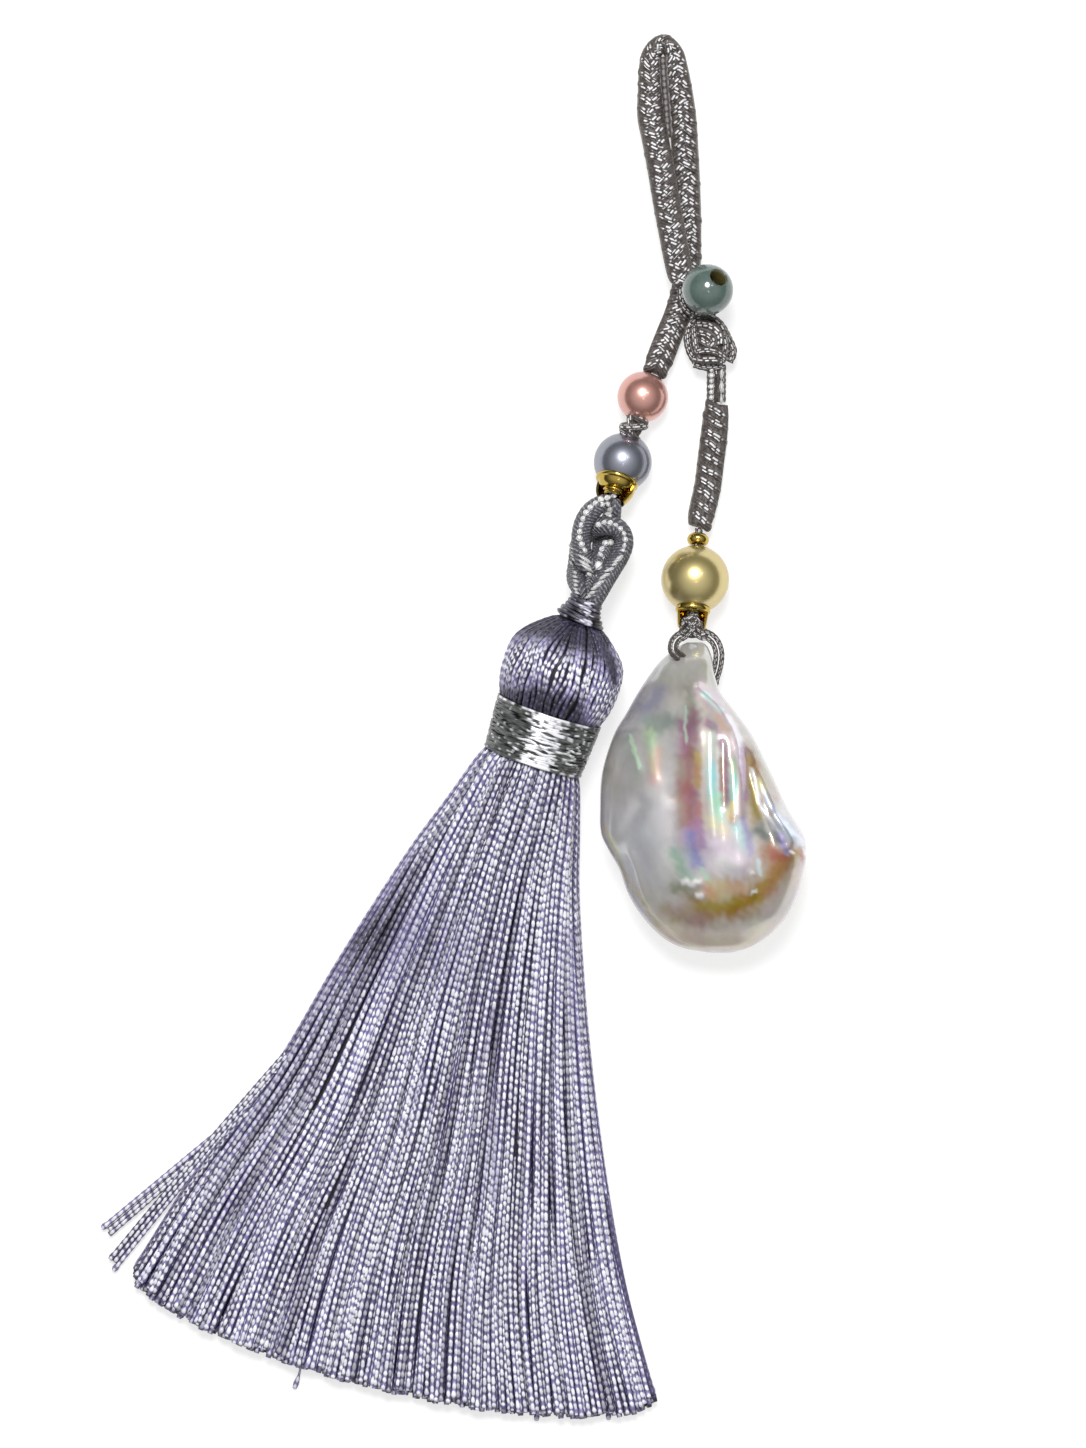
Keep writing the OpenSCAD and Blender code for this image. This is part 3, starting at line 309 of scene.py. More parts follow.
# Columns of the zones of colour, among them painted highlights and painted shade: line, half width, strength,
# colour
NACRE_AND_LIGHT_ZONES = [
    [[18.5, 3, 18.3, -6], 3.6, 0.75, (154, 152, 157)], [[23.5, 7.5, 23.8, 5.2], 1.8, 0.8, (172, 171, 169)],
    [[21, 4.5, 23.5, 3.8], 1.6, 0.7, (160, 158, 150)], [[15.6, -4.5, 15.4, -10.5], 1.2, 0.6, (162, 158, 152)],
    [[16.2, -9.2, 19, -9.6], 2, 0.6, (172, 172, 182)], [[19.2, -11, 18.9, -14.2], 2.6, 0.85, (192, 194, 202)],
    [[20, -7.6, 21.3, -8.6], 1.5, 0.7, (194, 194, 201)], [[17.4, -14.5, 19.8, -17], 1, 0.5, (172, 166, 160)],
    [[18.9, 1.9, 19.9, 2.6, 20.6, 3.6], 0.8, 0.6, (120, 122, 152)],
    [[19.5, 0.7, 20.3, 0], 0.8, 0.6, (118, 142, 128)], [[16.2, -0.5, 18.8, -0.2], 0.3, 0.5, (130, 130, 132)],
    [[17.2, -1.5, 18.4, -4.6], 0.8, 0.5, (140, 152, 144)],
    [[17.6, -0.8, 17.9, -1.8, 18.5, -3.9], 0.19, 0.95, (208, 236, 212)],
    [[19.4, -0.5, 19.9, -2.6], 0.62, 0.9, (200, 220, 188)],
    [[20.3, -2.4, 19.9, -5.2], 0.55, 0.85, (214, 178, 178)],
    [[19.6, -3.2, 19.7, -4], 0.4, 0.6, (206, 192, 168)], [[21.5, 0.6, 23.4, 0.2], 1.1, 0.75, (92, 116, 110)],
    [[23.3, 4, 23.9, 0.8], 0.7, 0.6, (112, 120, 108)], [[22.9, 3.4, 22.7, 2.4], 0.3, 0.5, (200, 194, 190)],
    [[21.9, -1.5, 22, -9, 22.6, -12.5], 1, 0.7, (140, 143, 150)],
    [[22.4, -3, 22.5, -9.5], 0.5, 0.7, (112, 116, 100)], [[23, 0.3, 23.2, -2.4], 0.9, 0.85, (126, 74, 110)],
    [[23.9, 1.6, 24, -1], 0.6, 0.7, (120, 82, 104)], [[23.5, -2.5, 23.2, -6], 1, 0.85, (118, 84, 82)],
    [[23.3, -6, 23.5, -10.2], 1.1, 0.85, (140, 90, 104)],
    [[24.2, -2.6, 24.2, -5.4], 0.42, 0.75, (176, 146, 104)],
    [[24.3, -7.5, 24.3, -9.5], 0.5, 0.7, (186, 132, 128)],
    [[23.1, 2, 22.9, 0.4, 23.1, -1.3], 0.15, 0.75, (188, 212, 196)],
    [[24.2, 4, 25, 2, 24.9, -4, 24.8, -7.5, 25.1, -11], 0.34, 0.85, (214, 202, 196)],
    [[25.1, 0.5, 26.3, -0.3, 26.9, -2.4, 26.9, -6.8], 0.5, 0.85, (150, 118, 142)],
    [[26.5, -3, 26.7, -7.4], 0.3, 0.8, (136, 104, 96)],
    [[25.5, -0.5, 25.5, -2.6], 0.5, 0.95, (222, 236, 226)],
    [[25.5, -3.6, 25.6, -6.2], 0.52, 0.95, (176, 236, 240)],
    [[26, -6.8, 26.2, -9], 0.5, 0.95, (190, 240, 220)],
    [[25.5, -9.2, 26.8, -10.2], 0.62, 0.9, (240, 232, 200)],
    [[24.7, 3.8, 26.6, 2, 28, -0.6, 28.5, -4.5, 28.5, -8.2], 0.85, 0.95, (214, 198, 206)],
    [[24.7, 3.5, 25.6, 2.6, 26.6, 1.8], 0.22, 0.85, (200, 232, 232)],
    [[26, 1.2, 27.2, -0.4], 0.34, 0.85, (232, 204, 190)],
    [[27.3, 1.2, 28.3, -1.2, 28.4, -3.4], 0.34, 0.95, (248, 244, 250)],
    [[28.6, -2, 28.9, -7], 0.3, 0.7, (176, 150, 196)], [[27.6, -3.2, 27.7, -4.4], 0.36, 0.9, (204, 236, 200)],
    [[27.7, -4.8, 27.7, -6.8], 0.36, 0.95, (166, 228, 212)],
    [[27.6, -7.4, 27.3, -8.9], 0.34, 0.9, (240, 230, 176)],
    [[27.5, -8.9, 27.5, -9.4], 0.25, 0.8, (232, 186, 140)], [[28, -9.6, 29, -12], 0.7, 0.9, (200, 232, 238)],
    [[28.7, -9, 29.4, -12.2], 0.4, 0.75, (176, 168, 214)],
    [[25.6, -12, 27.9, -13.4], 1.75, 0.95, (244, 230, 248)],
    [[26.6, -13.4, 27.4, -13.8], 1, 0.95, (252, 250, 252)],
    [[23.5, -10.6, 24.1, -13.4], 0.75, 0.85, (152, 154, 206)],
    [[24.1, -9.4, 24.6, -11.4], 0.6, 0.7, (178, 140, 184)],
    [[21.9, -12.4, 23.4, -15], 0.8, 0.75, (96, 138, 126)],
    [[24.7, -14, 25.4, -15.4], 0.28, 0.8, (196, 234, 212)],
    [[22.1, -15.8, 23.6, -16.5], 0.7, 0.75, (92, 106, 80)],
    [[24.6, -17.7, 27.2, -17.9, 29.8, -16.8, 31.6, -14.9, 32.6, -13], 1.5, 0.9, (144, 110, 52)],
    [[28, -17.5, 29.6, -16.8], 1, 0.6, (128, 116, 40)],
    [[26.4, -15.7, 28.2, -15.6], 0.9, 0.85, (206, 184, 148)],
    [[25.3, -15.8, 25.8, -16.6], 0.5, 0.75, (214, 164, 142)],
    [[22.4, -18.6, 24.3, -19.2], 1.2, 0.8, (142, 112, 110)], [[21, -18, 22, -19], 0.8, 0.5, (160, 140, 112)],
    [[29.6, -3, 29.9, -8.5], 0.85, 0.85, (148, 114, 58)], [[29.2, -1.8, 30, -3.4], 0.5, 0.7, (132, 104, 84)],
    [[30.9, -3.8, 32.2, -6.6], 0.5, 0.75, (134, 112, 52)],
    [[30.8, -6.4, 31.4, -8.6], 0.6, 0.7, (152, 140, 138)],
    [[29.6, -4.2, 30.3, -7.4, 31.4, -9.3, 32.4, -10.9], 0.22, 0.98, (250, 250, 255)],
    [[30.5, -5.7, 31.6, -8.2, 32.2, -8.8], 0.2, 0.9, (206, 222, 248)],
    [[30.2, -5.2, 30.8, -6.2], 0.35, 0.7, (230, 220, 180)],
    [[32.6, -9.6, 33.4, -10.8], 0.95, 0.85, (160, 172, 194)],
    [[32, -8.7, 33.2, -9.9, 34.5, -11.3], 0.3, 0.98, (238, 244, 255)],
    [[30.3, -10.2, 31.6, -11], 0.85, 0.9, (84, 100, 100)],
    [[31.1, -12.2, 32.8, -13.1], 1.1, 0.85, (136, 88, 76)],
    [[32.3, -10.7, 33, -12.3], 0.32, 0.85, (178, 168, 216)],
    [[33.9, -12.1, 34.6, -12.6], 0.65, 0.85, (152, 100, 60)],
    [[33.3, -12, 33.7, -12.3], 0.16, 0.9, (248, 244, 250)],
    [[34.6, -12, 34.9, -12.4], 0.16, 0.9, (248, 244, 250)],
    [[30.1, -13.1, 30.3, -14.3], 0.22, 0.85, (216, 236, 240)],
    [[20.6, -19.9, 24.6, -21.3, 29.2, -21.2, 32.2, -19, 34.3, -15], 1.15, 0.9, (206, 193, 180)],
    [[31.8, -18.6, 33.6, -16.4], 1, 0.6, (188, 180, 184)],
    [[15, -9.6, 17.2, -14.8, 20.4, -19.4], 0.3, 0.7, (186, 178, 150)],
    [[25, 6.4, 27.2, 2.8, 30.6, -3, 33.8, -8.4], 0.62, 0.85, (178, 174, 164)],
    [[22.9, -15.2, 24.3, -15.2], 0.34, 1, (255, 255, 255)],
    [[24.2, -16.5, 24.6, -16.5], 0.3, 1, (255, 255, 255)],
    [[29.5, -14.4, 29.6, -14.4], 0.22, 1, (255, 255, 255)],
    [[29.6, -16.2, 29.9, -16.1], 0.2, 1, (252, 250, 246)], [[23.7, 8.1, 24, 8.1], 0.2, 1, (250, 250, 250)],
]


# Points and curves
def unit(v):
    v = np.asarray(v, float)
    return v / np.linalg.norm(v, axis=-1, keepdims=True)


def smooth_at(rows, u):
    """Points of a smooth curve through the rows of a table, at row numbers u."""
    rows, u = np.asarray(rows, float), np.asarray(u, float)
    last = len(rows) - 1
    i = np.minimum(np.floor(u).astype(int), last - 1)
    f = (u - i)[..., None]
    a, b, c, d = rows[np.maximum(i - 1, 0)], rows[i], rows[i + 1], rows[np.minimum(i + 2, last)]
    return (2 * b + (c - a) * f + (2 * a - 5 * b + 4 * c - d) * f**2 + (3 * b - a - 3 * c + d) * f**3) / 2


def smooth(rows, steps=12):
    return smooth_at(rows, np.linspace(0, len(rows) - 1, (len(rows) - 1) * steps + 1))


def smooth_line(line, steps=12):
    """A smooth curve in the top view, through the points of a table's line."""
    return smooth(np.reshape(line, (-1, 2)), steps)


def lengths(path):
    """How far each point lies along the path."""
    return np.concatenate([[0], np.cumsum(np.linalg.norm(np.diff(path[:, :3], axis=0), axis=1))])


def look_up(where, at, table):
    """The columns of a table at other places than those that its rows are for."""
    return np.stack([np.interp(where, at, column) for column in table.T], axis=1)


def evenly(path, step):
    """The path again, with points about one step apart."""
    at = lengths(path)
    return look_up(np.linspace(0, at[-1], max(2, round(at[-1] / step) + 1)), at, path)


def axes(path, free=False):
    """Way, side and normal at each point. Free axes turn as little as they can."""
    way = unit(np.gradient(path[:, :3], axis=0))
    side = unit(np.cross(way, UP))
    if free:
        carried = [side[0]]
        for w in way[1:]:
            carried.append(unit(carried[-1] - w * (carried[-1] @ w)))
        side = np.array(carried)
    return way, side, np.cross(side, way)


def ring_across(ring, out):
    """The ways along and across a closed ring of points, from the ways out of it."""
    closed = np.vstack([ring[-1:], ring, ring[:1]])
    way = unit(closed[2:] - closed[:-2])
    return way, unit(np.cross(way, out))


def ease(value, low, high):
    """0 below low, 1 above high, smooth between."""
    t = np.clip((value - low) / (high - low), 0, 1)
    return t * t * (3 - 2 * t)


def circle(count):
    return np.arange(count) * TURN / count


def spokes(angle, side, normal):
    """The ways at some angles from a side towards a normal, for one pair of these or for one at each ring."""
    return np.cos(angle)[:, None] * side[..., None, :] + np.sin(angle)[:, None] * normal[..., None, :]


def tube(path, radius, free=False):
    """Rings round a path. The radius has a row for each ring, with a number for each point of it."""
    _, side, normal = axes(path, free)
    return path[:, None, :3] + radius[..., None] * spokes(circle(radius.shape[1]), side, normal)


def tube_out(path, radius, sides, outward=UP, flat=1.0):
    """A tube whose normal at each ring leans the given way, and whose thickness there may be less."""
    way = unit(np.gradient(path, axis=0))
    side = unit(np.cross(way, outward))
    ring = spokes(circle(sides), side, np.cross(side, way) * flat)
    return path[:, None] + np.reshape(radius, (-1, 1, 1)) * ring


def lathe(outline, at, axis, angle):
    """Rings of an outline of (radius, distance) points turned round an axis."""
    outline, axis = np.asarray(outline, float)[:, None], unit(axis)
    side = unit(np.cross(axis, UP))
    return at + outline[..., 1:] * axis + outline[..., :1] * spokes(angle, side, np.cross(side, axis))


# Meshes
class Shape:
    """Gathers rings of points, in millimetres, and makes one mesh of them."""

    def __init__(self):
        self.count, self.points, self.shade, self.quads, self.thread = 0, [], [], [], []
        self.fans, self.fan_thread = [np.zeros((0, 3), int)], [np.zeros((0, 3))]

    def rings(self, grid, beat=0.0, tone=0.5, shade=1.0, joined=False):
        """A skin through rings. Corners hold how far round, how far along and the strand's tone."""
        n, m = grid.shape[:2]
        index = self.count + np.arange(n * m).reshape(n, m)
        index = np.concatenate([index, index[:, :1]], axis=1)
        thread = np.full((n, m + 1, 3), float(tone))
        thread[..., 0] = np.arange(m + 1) / m
        thread[..., 1] = np.reshape(beat, (-1, 1))
        shade = np.broadcast_to(shade if np.ndim(shade) == 2 else np.reshape(shade, (-1, 1)), (n, m))
        self.points.append(grid.reshape(-1, 3))
        self.shade.append(shade.reshape(-1))
        self.count += n * m
        if joined:
            index, thread = np.concatenate([index, index[:1]]), np.concatenate([thread, thread[:1]])
        else:
            for end, order in ((0, (0, 1)), (-1, (1, 0))):
                self.cap(grid[end], index[end], thread[end], shade[end].mean(), order)
        for held, table, size in ((self.quads, index, 4), (self.thread, thread, 3)):
            corners = (table[:-1, :-1], table[1:, :-1], table[1:, 1:], table[:-1, 1:])
            held.append(np.stack(corners, 2).reshape(-1, size))

    def cap(self, ring, index, thread, shade, order):
        """A fan that closes an end. The order of its corners turns its face outwards."""
        m = len(ring)
        self.fans.append(np.stack([np.full(m, self.count)] + [index[i:m + i] for i in order], -1))
        corners = [np.broadcast_to(thread.mean(0), (m, 3))] + [thread[i:m + i] for i in order]
        self.fan_thread.append(np.stack(corners, 1).reshape(-1, 3))
        self.points.append(ring.mean(0)[None])
        self.shade.append([shade])
        self.count += 1

    def make(self, name, material, *replaced, slot=None):
        """The mesh object, which rides on the root body and stands for the CAD nodes named."""
        quads, fans = np.concatenate(self.quads), np.concatenate(self.fans)
        mesh = bpy.data.meshes.new(name)
        mesh.vertices.add(self.count)
        mesh.loops.add(quads.size + fans.size)
        mesh.polygons.add(len(quads) + len(fans))

        def fill(data, key, rows, kind=np.float32):
            data.foreach_set(key, np.concatenate(rows).astype(kind).ravel())

        fill(mesh.vertices, "co", [rows * MM for rows in self.points])
        fill(mesh.loops, "vertex_index", [quads.ravel(), fans.ravel()], np.int32)
        starts = [4 * np.arange(len(quads)), quads.size + 3 * np.arange(len(fans))]
        fill(mesh.polygons, "loop_start", starts, np.int32)
        mesh.update(calc_edges=True)
        mesh.shade_smooth()
        thread = mesh.attributes.new("thread", "FLOAT_VECTOR", "CORNER")
        fill(thread.data, "vector", self.thread + self.fan_thread)
        fill(mesh.attributes.new("shade", "FLOAT", "POINT").data, "value", self.shade)
        mesh.materials.append(MATERIALS[material])
        piece = bpy.data.objects.new(name, mesh)
        bpy.context.scene.collection.objects.link(piece)
        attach(piece, "root")
        if replaced:
            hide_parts(*replaced)
        return piece


# Materials by name. Some materials of the same names are already there, so they aren't taken from Blender's
# list
MATERIALS = {}


class Paint:
    """A material, with short calls that add nodes to it."""

    def __init__(self, name, **sockets):
        self.material = bpy.data.materials.new(name)
        MATERIALS[name] = self.material
        self.material.use_nodes = True
        self.tree = self.material.node_tree
        self.shader = self.tree.nodes["Principled BSDF"]
        self.set(self.shader, **sockets)

    def put(self, socket, value):
        if isinstance(value, bpy.types.NodeSocket):
            self.tree.links.new(value, socket)
        elif value is not None:
            socket.default_value = value

    def set(self, made, **sockets):
        for name, value in sockets.items():
            self.put(made.inputs[name.replace("_", " ")], value)

    def cover(self, **sockets):
        self.set(self.shader, **sockets)

    def node(self, kind, *inputs, **settings):
        made = self.tree.nodes.new("ShaderNode" + kind)
        for name, value in settings.items():
            setattr(made, name, value)
        for socket, value in zip(made.inputs, inputs):
            self.put(socket, value)
        return made

    def math(self, operation, *values):
        return self.node("Math", *values, operation=operation).outputs[0]

    def times(self, a, b, plus=0.0):
        return self.math("MULTIPLY_ADD", a, b, plus)

    def ease(self, value, low, high, start=0.0, end=1.0):
        return self.node("MapRange", value, low, high, start, end, interpolation_type="SMOOTHSTEP").outputs[0]

    def mix(self, factor, a, b):
        return self.node("Mix", factor, *[None] * 5, a, b, data_type="RGBA").outputs[2]

    def scale(self, colour, factor):
        made = self.node("VectorMath", colour[:3] if isinstance(colour, tuple) else colour, operation="SCALE")
        self.set(made, Scale=factor)
        return made.outputs[0]

    def texture(self, place, scale, detail):
        made = self.node("TexNoise", place)
        self.set(made, Scale=scale, Detail=detail)
        return made.outputs[0]

    def noise(self, scale, detail, stretch=None):
        place = self.node("TexCoord").outputs["Object"]
        if stretch:
            place = self.node("VectorMath", place, stretch, operation="MULTIPLY").outputs[0]
        return self.texture(place, scale, detail)

    def thread_noise(self, along, beat, tone):
        """Noise along each thread, different from thread to thread."""
        place = self.node("CombineXYZ", self.times(beat, along), self.times(tone, 37.0))
        return self.texture(place.outputs[0], 1.0, 1.0)

    def mark(self, name, output):
        return self.node("Attribute", attribute_name=name).outputs[output]

    def strand(self):
        """How far round, how far along and the tone of a strand, a point's shade, and how far it faces
        sideways and outwards."""
        parts = self.node("SeparateXYZ", self.mark("thread", "Vector")).outputs
        turn = self.times(parts[0], TURN)
        return (*parts, self.mark("shade", "Fac"), self.math("COSINE", turn), self.math("SINE", turn))

    def wave(self, phase):
        """1 at whole numbers of the phase and -1 halfway between."""
        return self.math("COSINE", self.times(phase, TURN))

    def bump(self, height, distance):
        made = self.node("Bump")
        self.set(made, Distance=distance * MM, Height=height)
        self.cover(Normal=made.outputs[0])


def colour(red, green, blue):
    """A colour given as a screen shows it, 0 to 255, as the linear one that a shader takes."""
    shown = (red / 255, green / 255, blue / 255)
    return (*[c / 12.92 if c <= 0.04045 else ((c + 0.055) / 1.055) ** 2.4 for c in shown], 1.0)


def silk_paint(name, dark, light):
    """Two-ply silk thread: an oval light dash, a painted highlight, on each swelling, with dark grooves
    between.
    """
    paint = Paint(name, Roughness=0.36, IOR=1.5)
    _, beat, tone, shade, across, outward = paint.strand()
    uneven = paint.times(paint.thread_noise(0.9, beat, tone), 0.9)
    wave = paint.wave(paint.math("ADD", paint.times(across, 0.05, beat), uneven))
    off = paint.times(paint.math("SUBTRACT", 1.0, wave), 0.62, uneven)
    off = paint.times(paint.math("SUBTRACT", 1.0, outward), 2.6, off)
    # The dashes are painted highlights; the shade mark shows less of them where light is painted dimmer.
    lit = paint.times(paint.ease(off, 1.85, 1.1), shade)
    deep = paint.scale(dark, paint.times(tone, 1.1, 0.45))
    # Painted shade: the thread darkens where it faces sideways or down, and where the shade mark is low.
    deep = paint.scale(deep, paint.ease(outward, -0.3, 0.9, 0.4, 1.15))
    deep = paint.scale(deep, paint.ease(shade, 0.0, 0.3, 0.22, 1.0))
    paint.cover(Base_Color=paint.mix(lit, deep, light))
    paint.bump(wave, 0.05)


def metal_thread_paint(name, dark, light):
    """Fine wound thread, with a painted highlight where it faces outwards and the shade mark is high, and
    dark beside, with streaks in both.
    """
    paint = Paint(name, Roughness=0.3)
    _, beat, tone, shade, _, outward = paint.strand()
    streak = paint.math("ADD", paint.thread_noise(0.75, beat, tone), paint.times(shade, 0.34, -0.16))
    # Painted highlight: light where the shade mark is high and the thread faces outwards.
    lit = paint.times(paint.ease(streak, 0.46, 0.66), paint.ease(outward, -0.1, 0.7))
    deep = paint.scale(dark, paint.times(paint.thread_noise(0.6, beat, tone), 5.0, -1.6))
    paint.cover(Base_Color=paint.mix(lit, deep, light), Metallic=paint.times(lit, 0.25))
    paint.bump(paint.thread_noise(1.1, beat, tone), 0.05)


def braid_paint(name, dark, light):
    """Dark cord with nine rows of short silver dashes: its silver thread with a painted highlight where it
    lies on top, and painted shade between its plies.
    """
    paint = Paint(name, Roughness=0.5, Sheen_Weight=0.25, Sheen_Roughness=0.4,
                  Sheen_Tint=colour(225, 215, 195))
    around, beat, tone, shade, _, outward = paint.strand()
    uneven = paint.thread_noise(1.1, beat, tone)
    lane = paint.times(around, 9.0, tone)
    ply = paint.wave(lane)
    step = paint.times(paint.math("FLOOR", paint.math("ADD", lane, 0.5)), 0.31)
    dash = paint.wave(paint.math("ADD", beat, paint.times(uneven, 0.9, step)))
    # The silver dashes are the cord's silver thread with a painted highlight: they show only where the cord
    # faces outwards and the shade mark is high.
    silver_glint = paint.times(paint.ease(ply, -0.7, 0.0), paint.ease(dash, -0.6, -0.1))
    silver_glint = paint.times(paint.times(silver_glint, paint.ease(outward, 0.76, 0.92)), shade)
    lit = paint.times(silver_glint, paint.ease(uneven, 0.3, 0.43, 0.12, 1.8))
    grain = paint.ease(paint.noise(2600.0, 3.0), 0.3, 0.7, 0.7, 1.4)
    # The cord's colour, with random grain, and painted shade in the grooves between its plies.
    deep = paint.scale(paint.scale(dark, grain), paint.ease(ply, -1.0, 0.4, 0.7, 1.1))
    paint.cover(Base_Color=paint.mix(lit, deep, light), Metallic=paint.times(lit, 0.2))
    paint.bump(ply, 0.05)


def rope_paint(name, dark, light):
    """Dark cord with fine slanting ribs, flecked with lighter grey, with painted shade on its sides, and
    white beads, painted highlights, where the shade mark is 1.
    """
    paint = Paint(name, Roughness=0.42)
    around, beat, _, shade, across, outward = paint.strand()
    rib = paint.wave(paint.times(paint.math("ABSOLUTE", across), 1.3, beat))
    fleck = paint.ease(paint.thread_noise(2.1, beat, paint.times(around, 0.6)), 0.42, 0.66, 0.12, 1.0)
    fleck = paint.times(fleck, paint.ease(rib, -0.5, 0.7, 0.1, 0.8))
    deep = paint.mix(fleck, dark, colour(176, 174, 182))
    # Painted shade: the cord darkens where it faces sideways or down, and the white beads fade there.
    deep = paint.mix(paint.ease(outward, 0.5, 0.1, 0.0, 0.6), deep, colour(70, 66, 66))
    side_shade = paint.ease(outward, -0.2, 0.3, 0.35, 1.0)
    paint.cover(Base_Color=paint.mix(paint.times(shade, side_shade), deep, light))
    paint.bump(rib, 0.05)


def pearl_paint(name, tint, metal, rim, rough=0.31):
    """Round pearl: lustrous nacre that mirrors the table near its rim, under a clear skin."""
    paint = Paint(name, Metallic=metal, Roughness=rough, IOR=1.6, Specular_Tint=rim, Coat_Weight=1.0,
                  Coat_Roughness=0.16, Coat_IOR=1.9)
    cloud = paint.ease(paint.noise(260.0, 3.0), 0.3, 0.7, 0.93, 1.05)
    paint.cover(Base_Color=paint.scale(tint, cloud))
    paint.bump(paint.noise(420.0, 2.0), 0.012)


def gold_paint():
    paint = Paint("gold", Metallic=1.0)
    paint.cover(Base_Color=paint.mix(paint.noise(500.0, 3.0), colour(180, 153, 70), colour(202, 176, 94)),
                Roughness=paint.ease(paint.noise(900.0, 3.0), 0.3, 0.7, 0.1, 0.2))


def jade_paint():
    """Grey-green jade with soft clouds, slightly translucent, and a hole stained olive brown."""
    paint = Paint("jade", Roughness=0.16, IOR=1.6, Subsurface_Weight=0.2, Subsurface_Radius=(0.8, 1.0, 0.95),
                  Subsurface_Scale=0.5 * MM, Coat_Weight=0.6, Coat_Roughness=0.04)
    cloud = paint.ease(paint.noise(260.0, 4.0, (1.0, 1.7, 1.0)), 0.35, 0.7)
    stone = paint.mix(cloud, colour(80, 98, 93), colour(96, 114, 108))
    paint.cover(Base_Color=paint.mix(paint.mark("shade", "Fac"), colour(74, 68, 36), stone))


def nacre_paint():
    """Nacre of the baroque pearl: its colours, painted highlights and painted shade among them, are painted
    on the points, with fine streaks in them.
    """
    paint = Paint("nacre", Roughness=0.25, IOR=1.6, Metallic=0.4, Coat_Weight=0.8, Coat_Roughness=0.06,
                  Thin_Film_Thickness=420.0, Thin_Film_IOR=1.4)
    streak = paint.ease(paint.noise(1.0, 6.0, (900.0, 380.0, 900.0)), 0.3, 0.7, 0.98, 1.08)
    hue = paint.ease(paint.noise(420.0, 3.0), 0.3, 0.7, 0.47, 0.53)
    turned_hue = paint.node("HueSaturation")
    paint.set(turned_hue, Hue=hue, Saturation=1.5, Value=streak, Color=paint.mark("nacre", "Color"))
    paint.cover(Base_Color=turned_hue.outputs[0])
    paint.bump(paint.noise(300.0, 4.0), 0.035)


braid_paint("metallic_braid", colour(80, 73, 71), colour(250, 249, 252))
rope_paint("silk_cord", colour(76, 75, 82), colour(255, 255, 255))
silk_paint("silk", colour(103, 97, 136), colour(250, 251, 255))
# A dark silk for the cores under the threads: painted shade where the threads part.
silk_paint("shaded_silk_core", colour(48, 44, 56), colour(60, 56, 72))
metal_thread_paint("metallic_thread", colour(78, 81, 79), colour(250, 250, 255))
metal_thread_paint("silk_wrap", colour(74, 70, 82), colour(240, 240, 255))
gold_paint()
jade_paint()
pearl_paint("pink_pearl", colour(212, 153, 140), 0.74, colour(236, 200, 196))
pearl_paint("grey_pearl", colour(144, 147, 161), 0.9, colour(120, 120, 130), 0.38)
pearl_paint("golden_pearl", colour(208, 190, 124), 0.82, colour(200, 176, 110))
nacre_paint()

# Camera, straight above, as in the photograph
camera = bpy.data.objects.new("camera", bpy.data.cameras.new("camera"))
bpy.context.scene.collection.objects.link(camera)
camera.location = (VIEW_AT[0] * MM, VIEW_AT[1] * MM, CAMERA_HEIGHT * MM)
camera.data.lens = camera.data.sensor_width * CAMERA_HEIGHT / VIEW_H
camera.data.clip_start = 0.01
bpy.context.scene.camera = camera


# Braids
def finger(hand, share, over):
    """Control points of one turn of the braid: across, along and up. It hugs one side of the braid,
    and its ends dip under the next turn from the other side. Or else it goes over the whole width."""
    if over:
        turn = np.linspace(-0.55, 1.55, 16) * math.pi
        rows = [(-math.cos(t), 0.62 * math.cos(t) - 0.1 * (math.sin(t) < 0), math.sin(t)) for t in turn]
    else:
        rows = [(-0.66, 0.72, 0.1), (-0.46, 0.66, 0.66), (-0.1, 0.42, 0.98), (0.34, 0.05, 1),
                (0.74, -0.34, 0.74), (0.97, -0.5, 0.14)]
        rows += [(across, along, -up) for across, along, up in rows[::-1]]
    half_w = share * BRAID_W / 2 - FINGER_R * 0.88
    half_t = (0.35 + 0.65 * share) * BRAID_T / 2 - FINGER_R * FINGER_FLAT
    return np.array(rows) * (hand * half_w, 1, half_t)


def rope(shape, route, d, plies=3, lay=1.9, step=0.16, sides=12, lift=0.13, free=True, seed=1, shade=1.0,
         pitch=0.6):
    """A cord of plies laid round each other along a route."""
    path = evenly(smooth(route), step)
    at = lengths(path)
    share = path[:, 3] if path.shape[1] == 4 else np.ones(len(path))
    lobe = np.abs(np.cos(plies / 2 * (circle(sides) - TURN * at[:, None] / lay)))
    radius = d / 2 * share[:, None] * (1 - lift + lift * lobe)
    tone = np.random.default_rng(seed).random()
    shape.rings(tube(path, radius, free), beat=at / pitch, tone=tone, shade=shade)


def ribbon(shape, path):
    """A smooth body inside a braid's turns."""
    angle = circle(20)
    half_w = path[:, 3:] * BRAID_W / 2 - 0.6 * RIBBON_INSET
    half_t = (0.35 + 0.65 * path[:, 3:]) * BRAID_T / 2 - RIBBON_INSET
    shape.rings(tube(path, 1 / np.hypot(np.cos(angle) / half_w, np.sin(angle) / half_t)), shade=0.0)


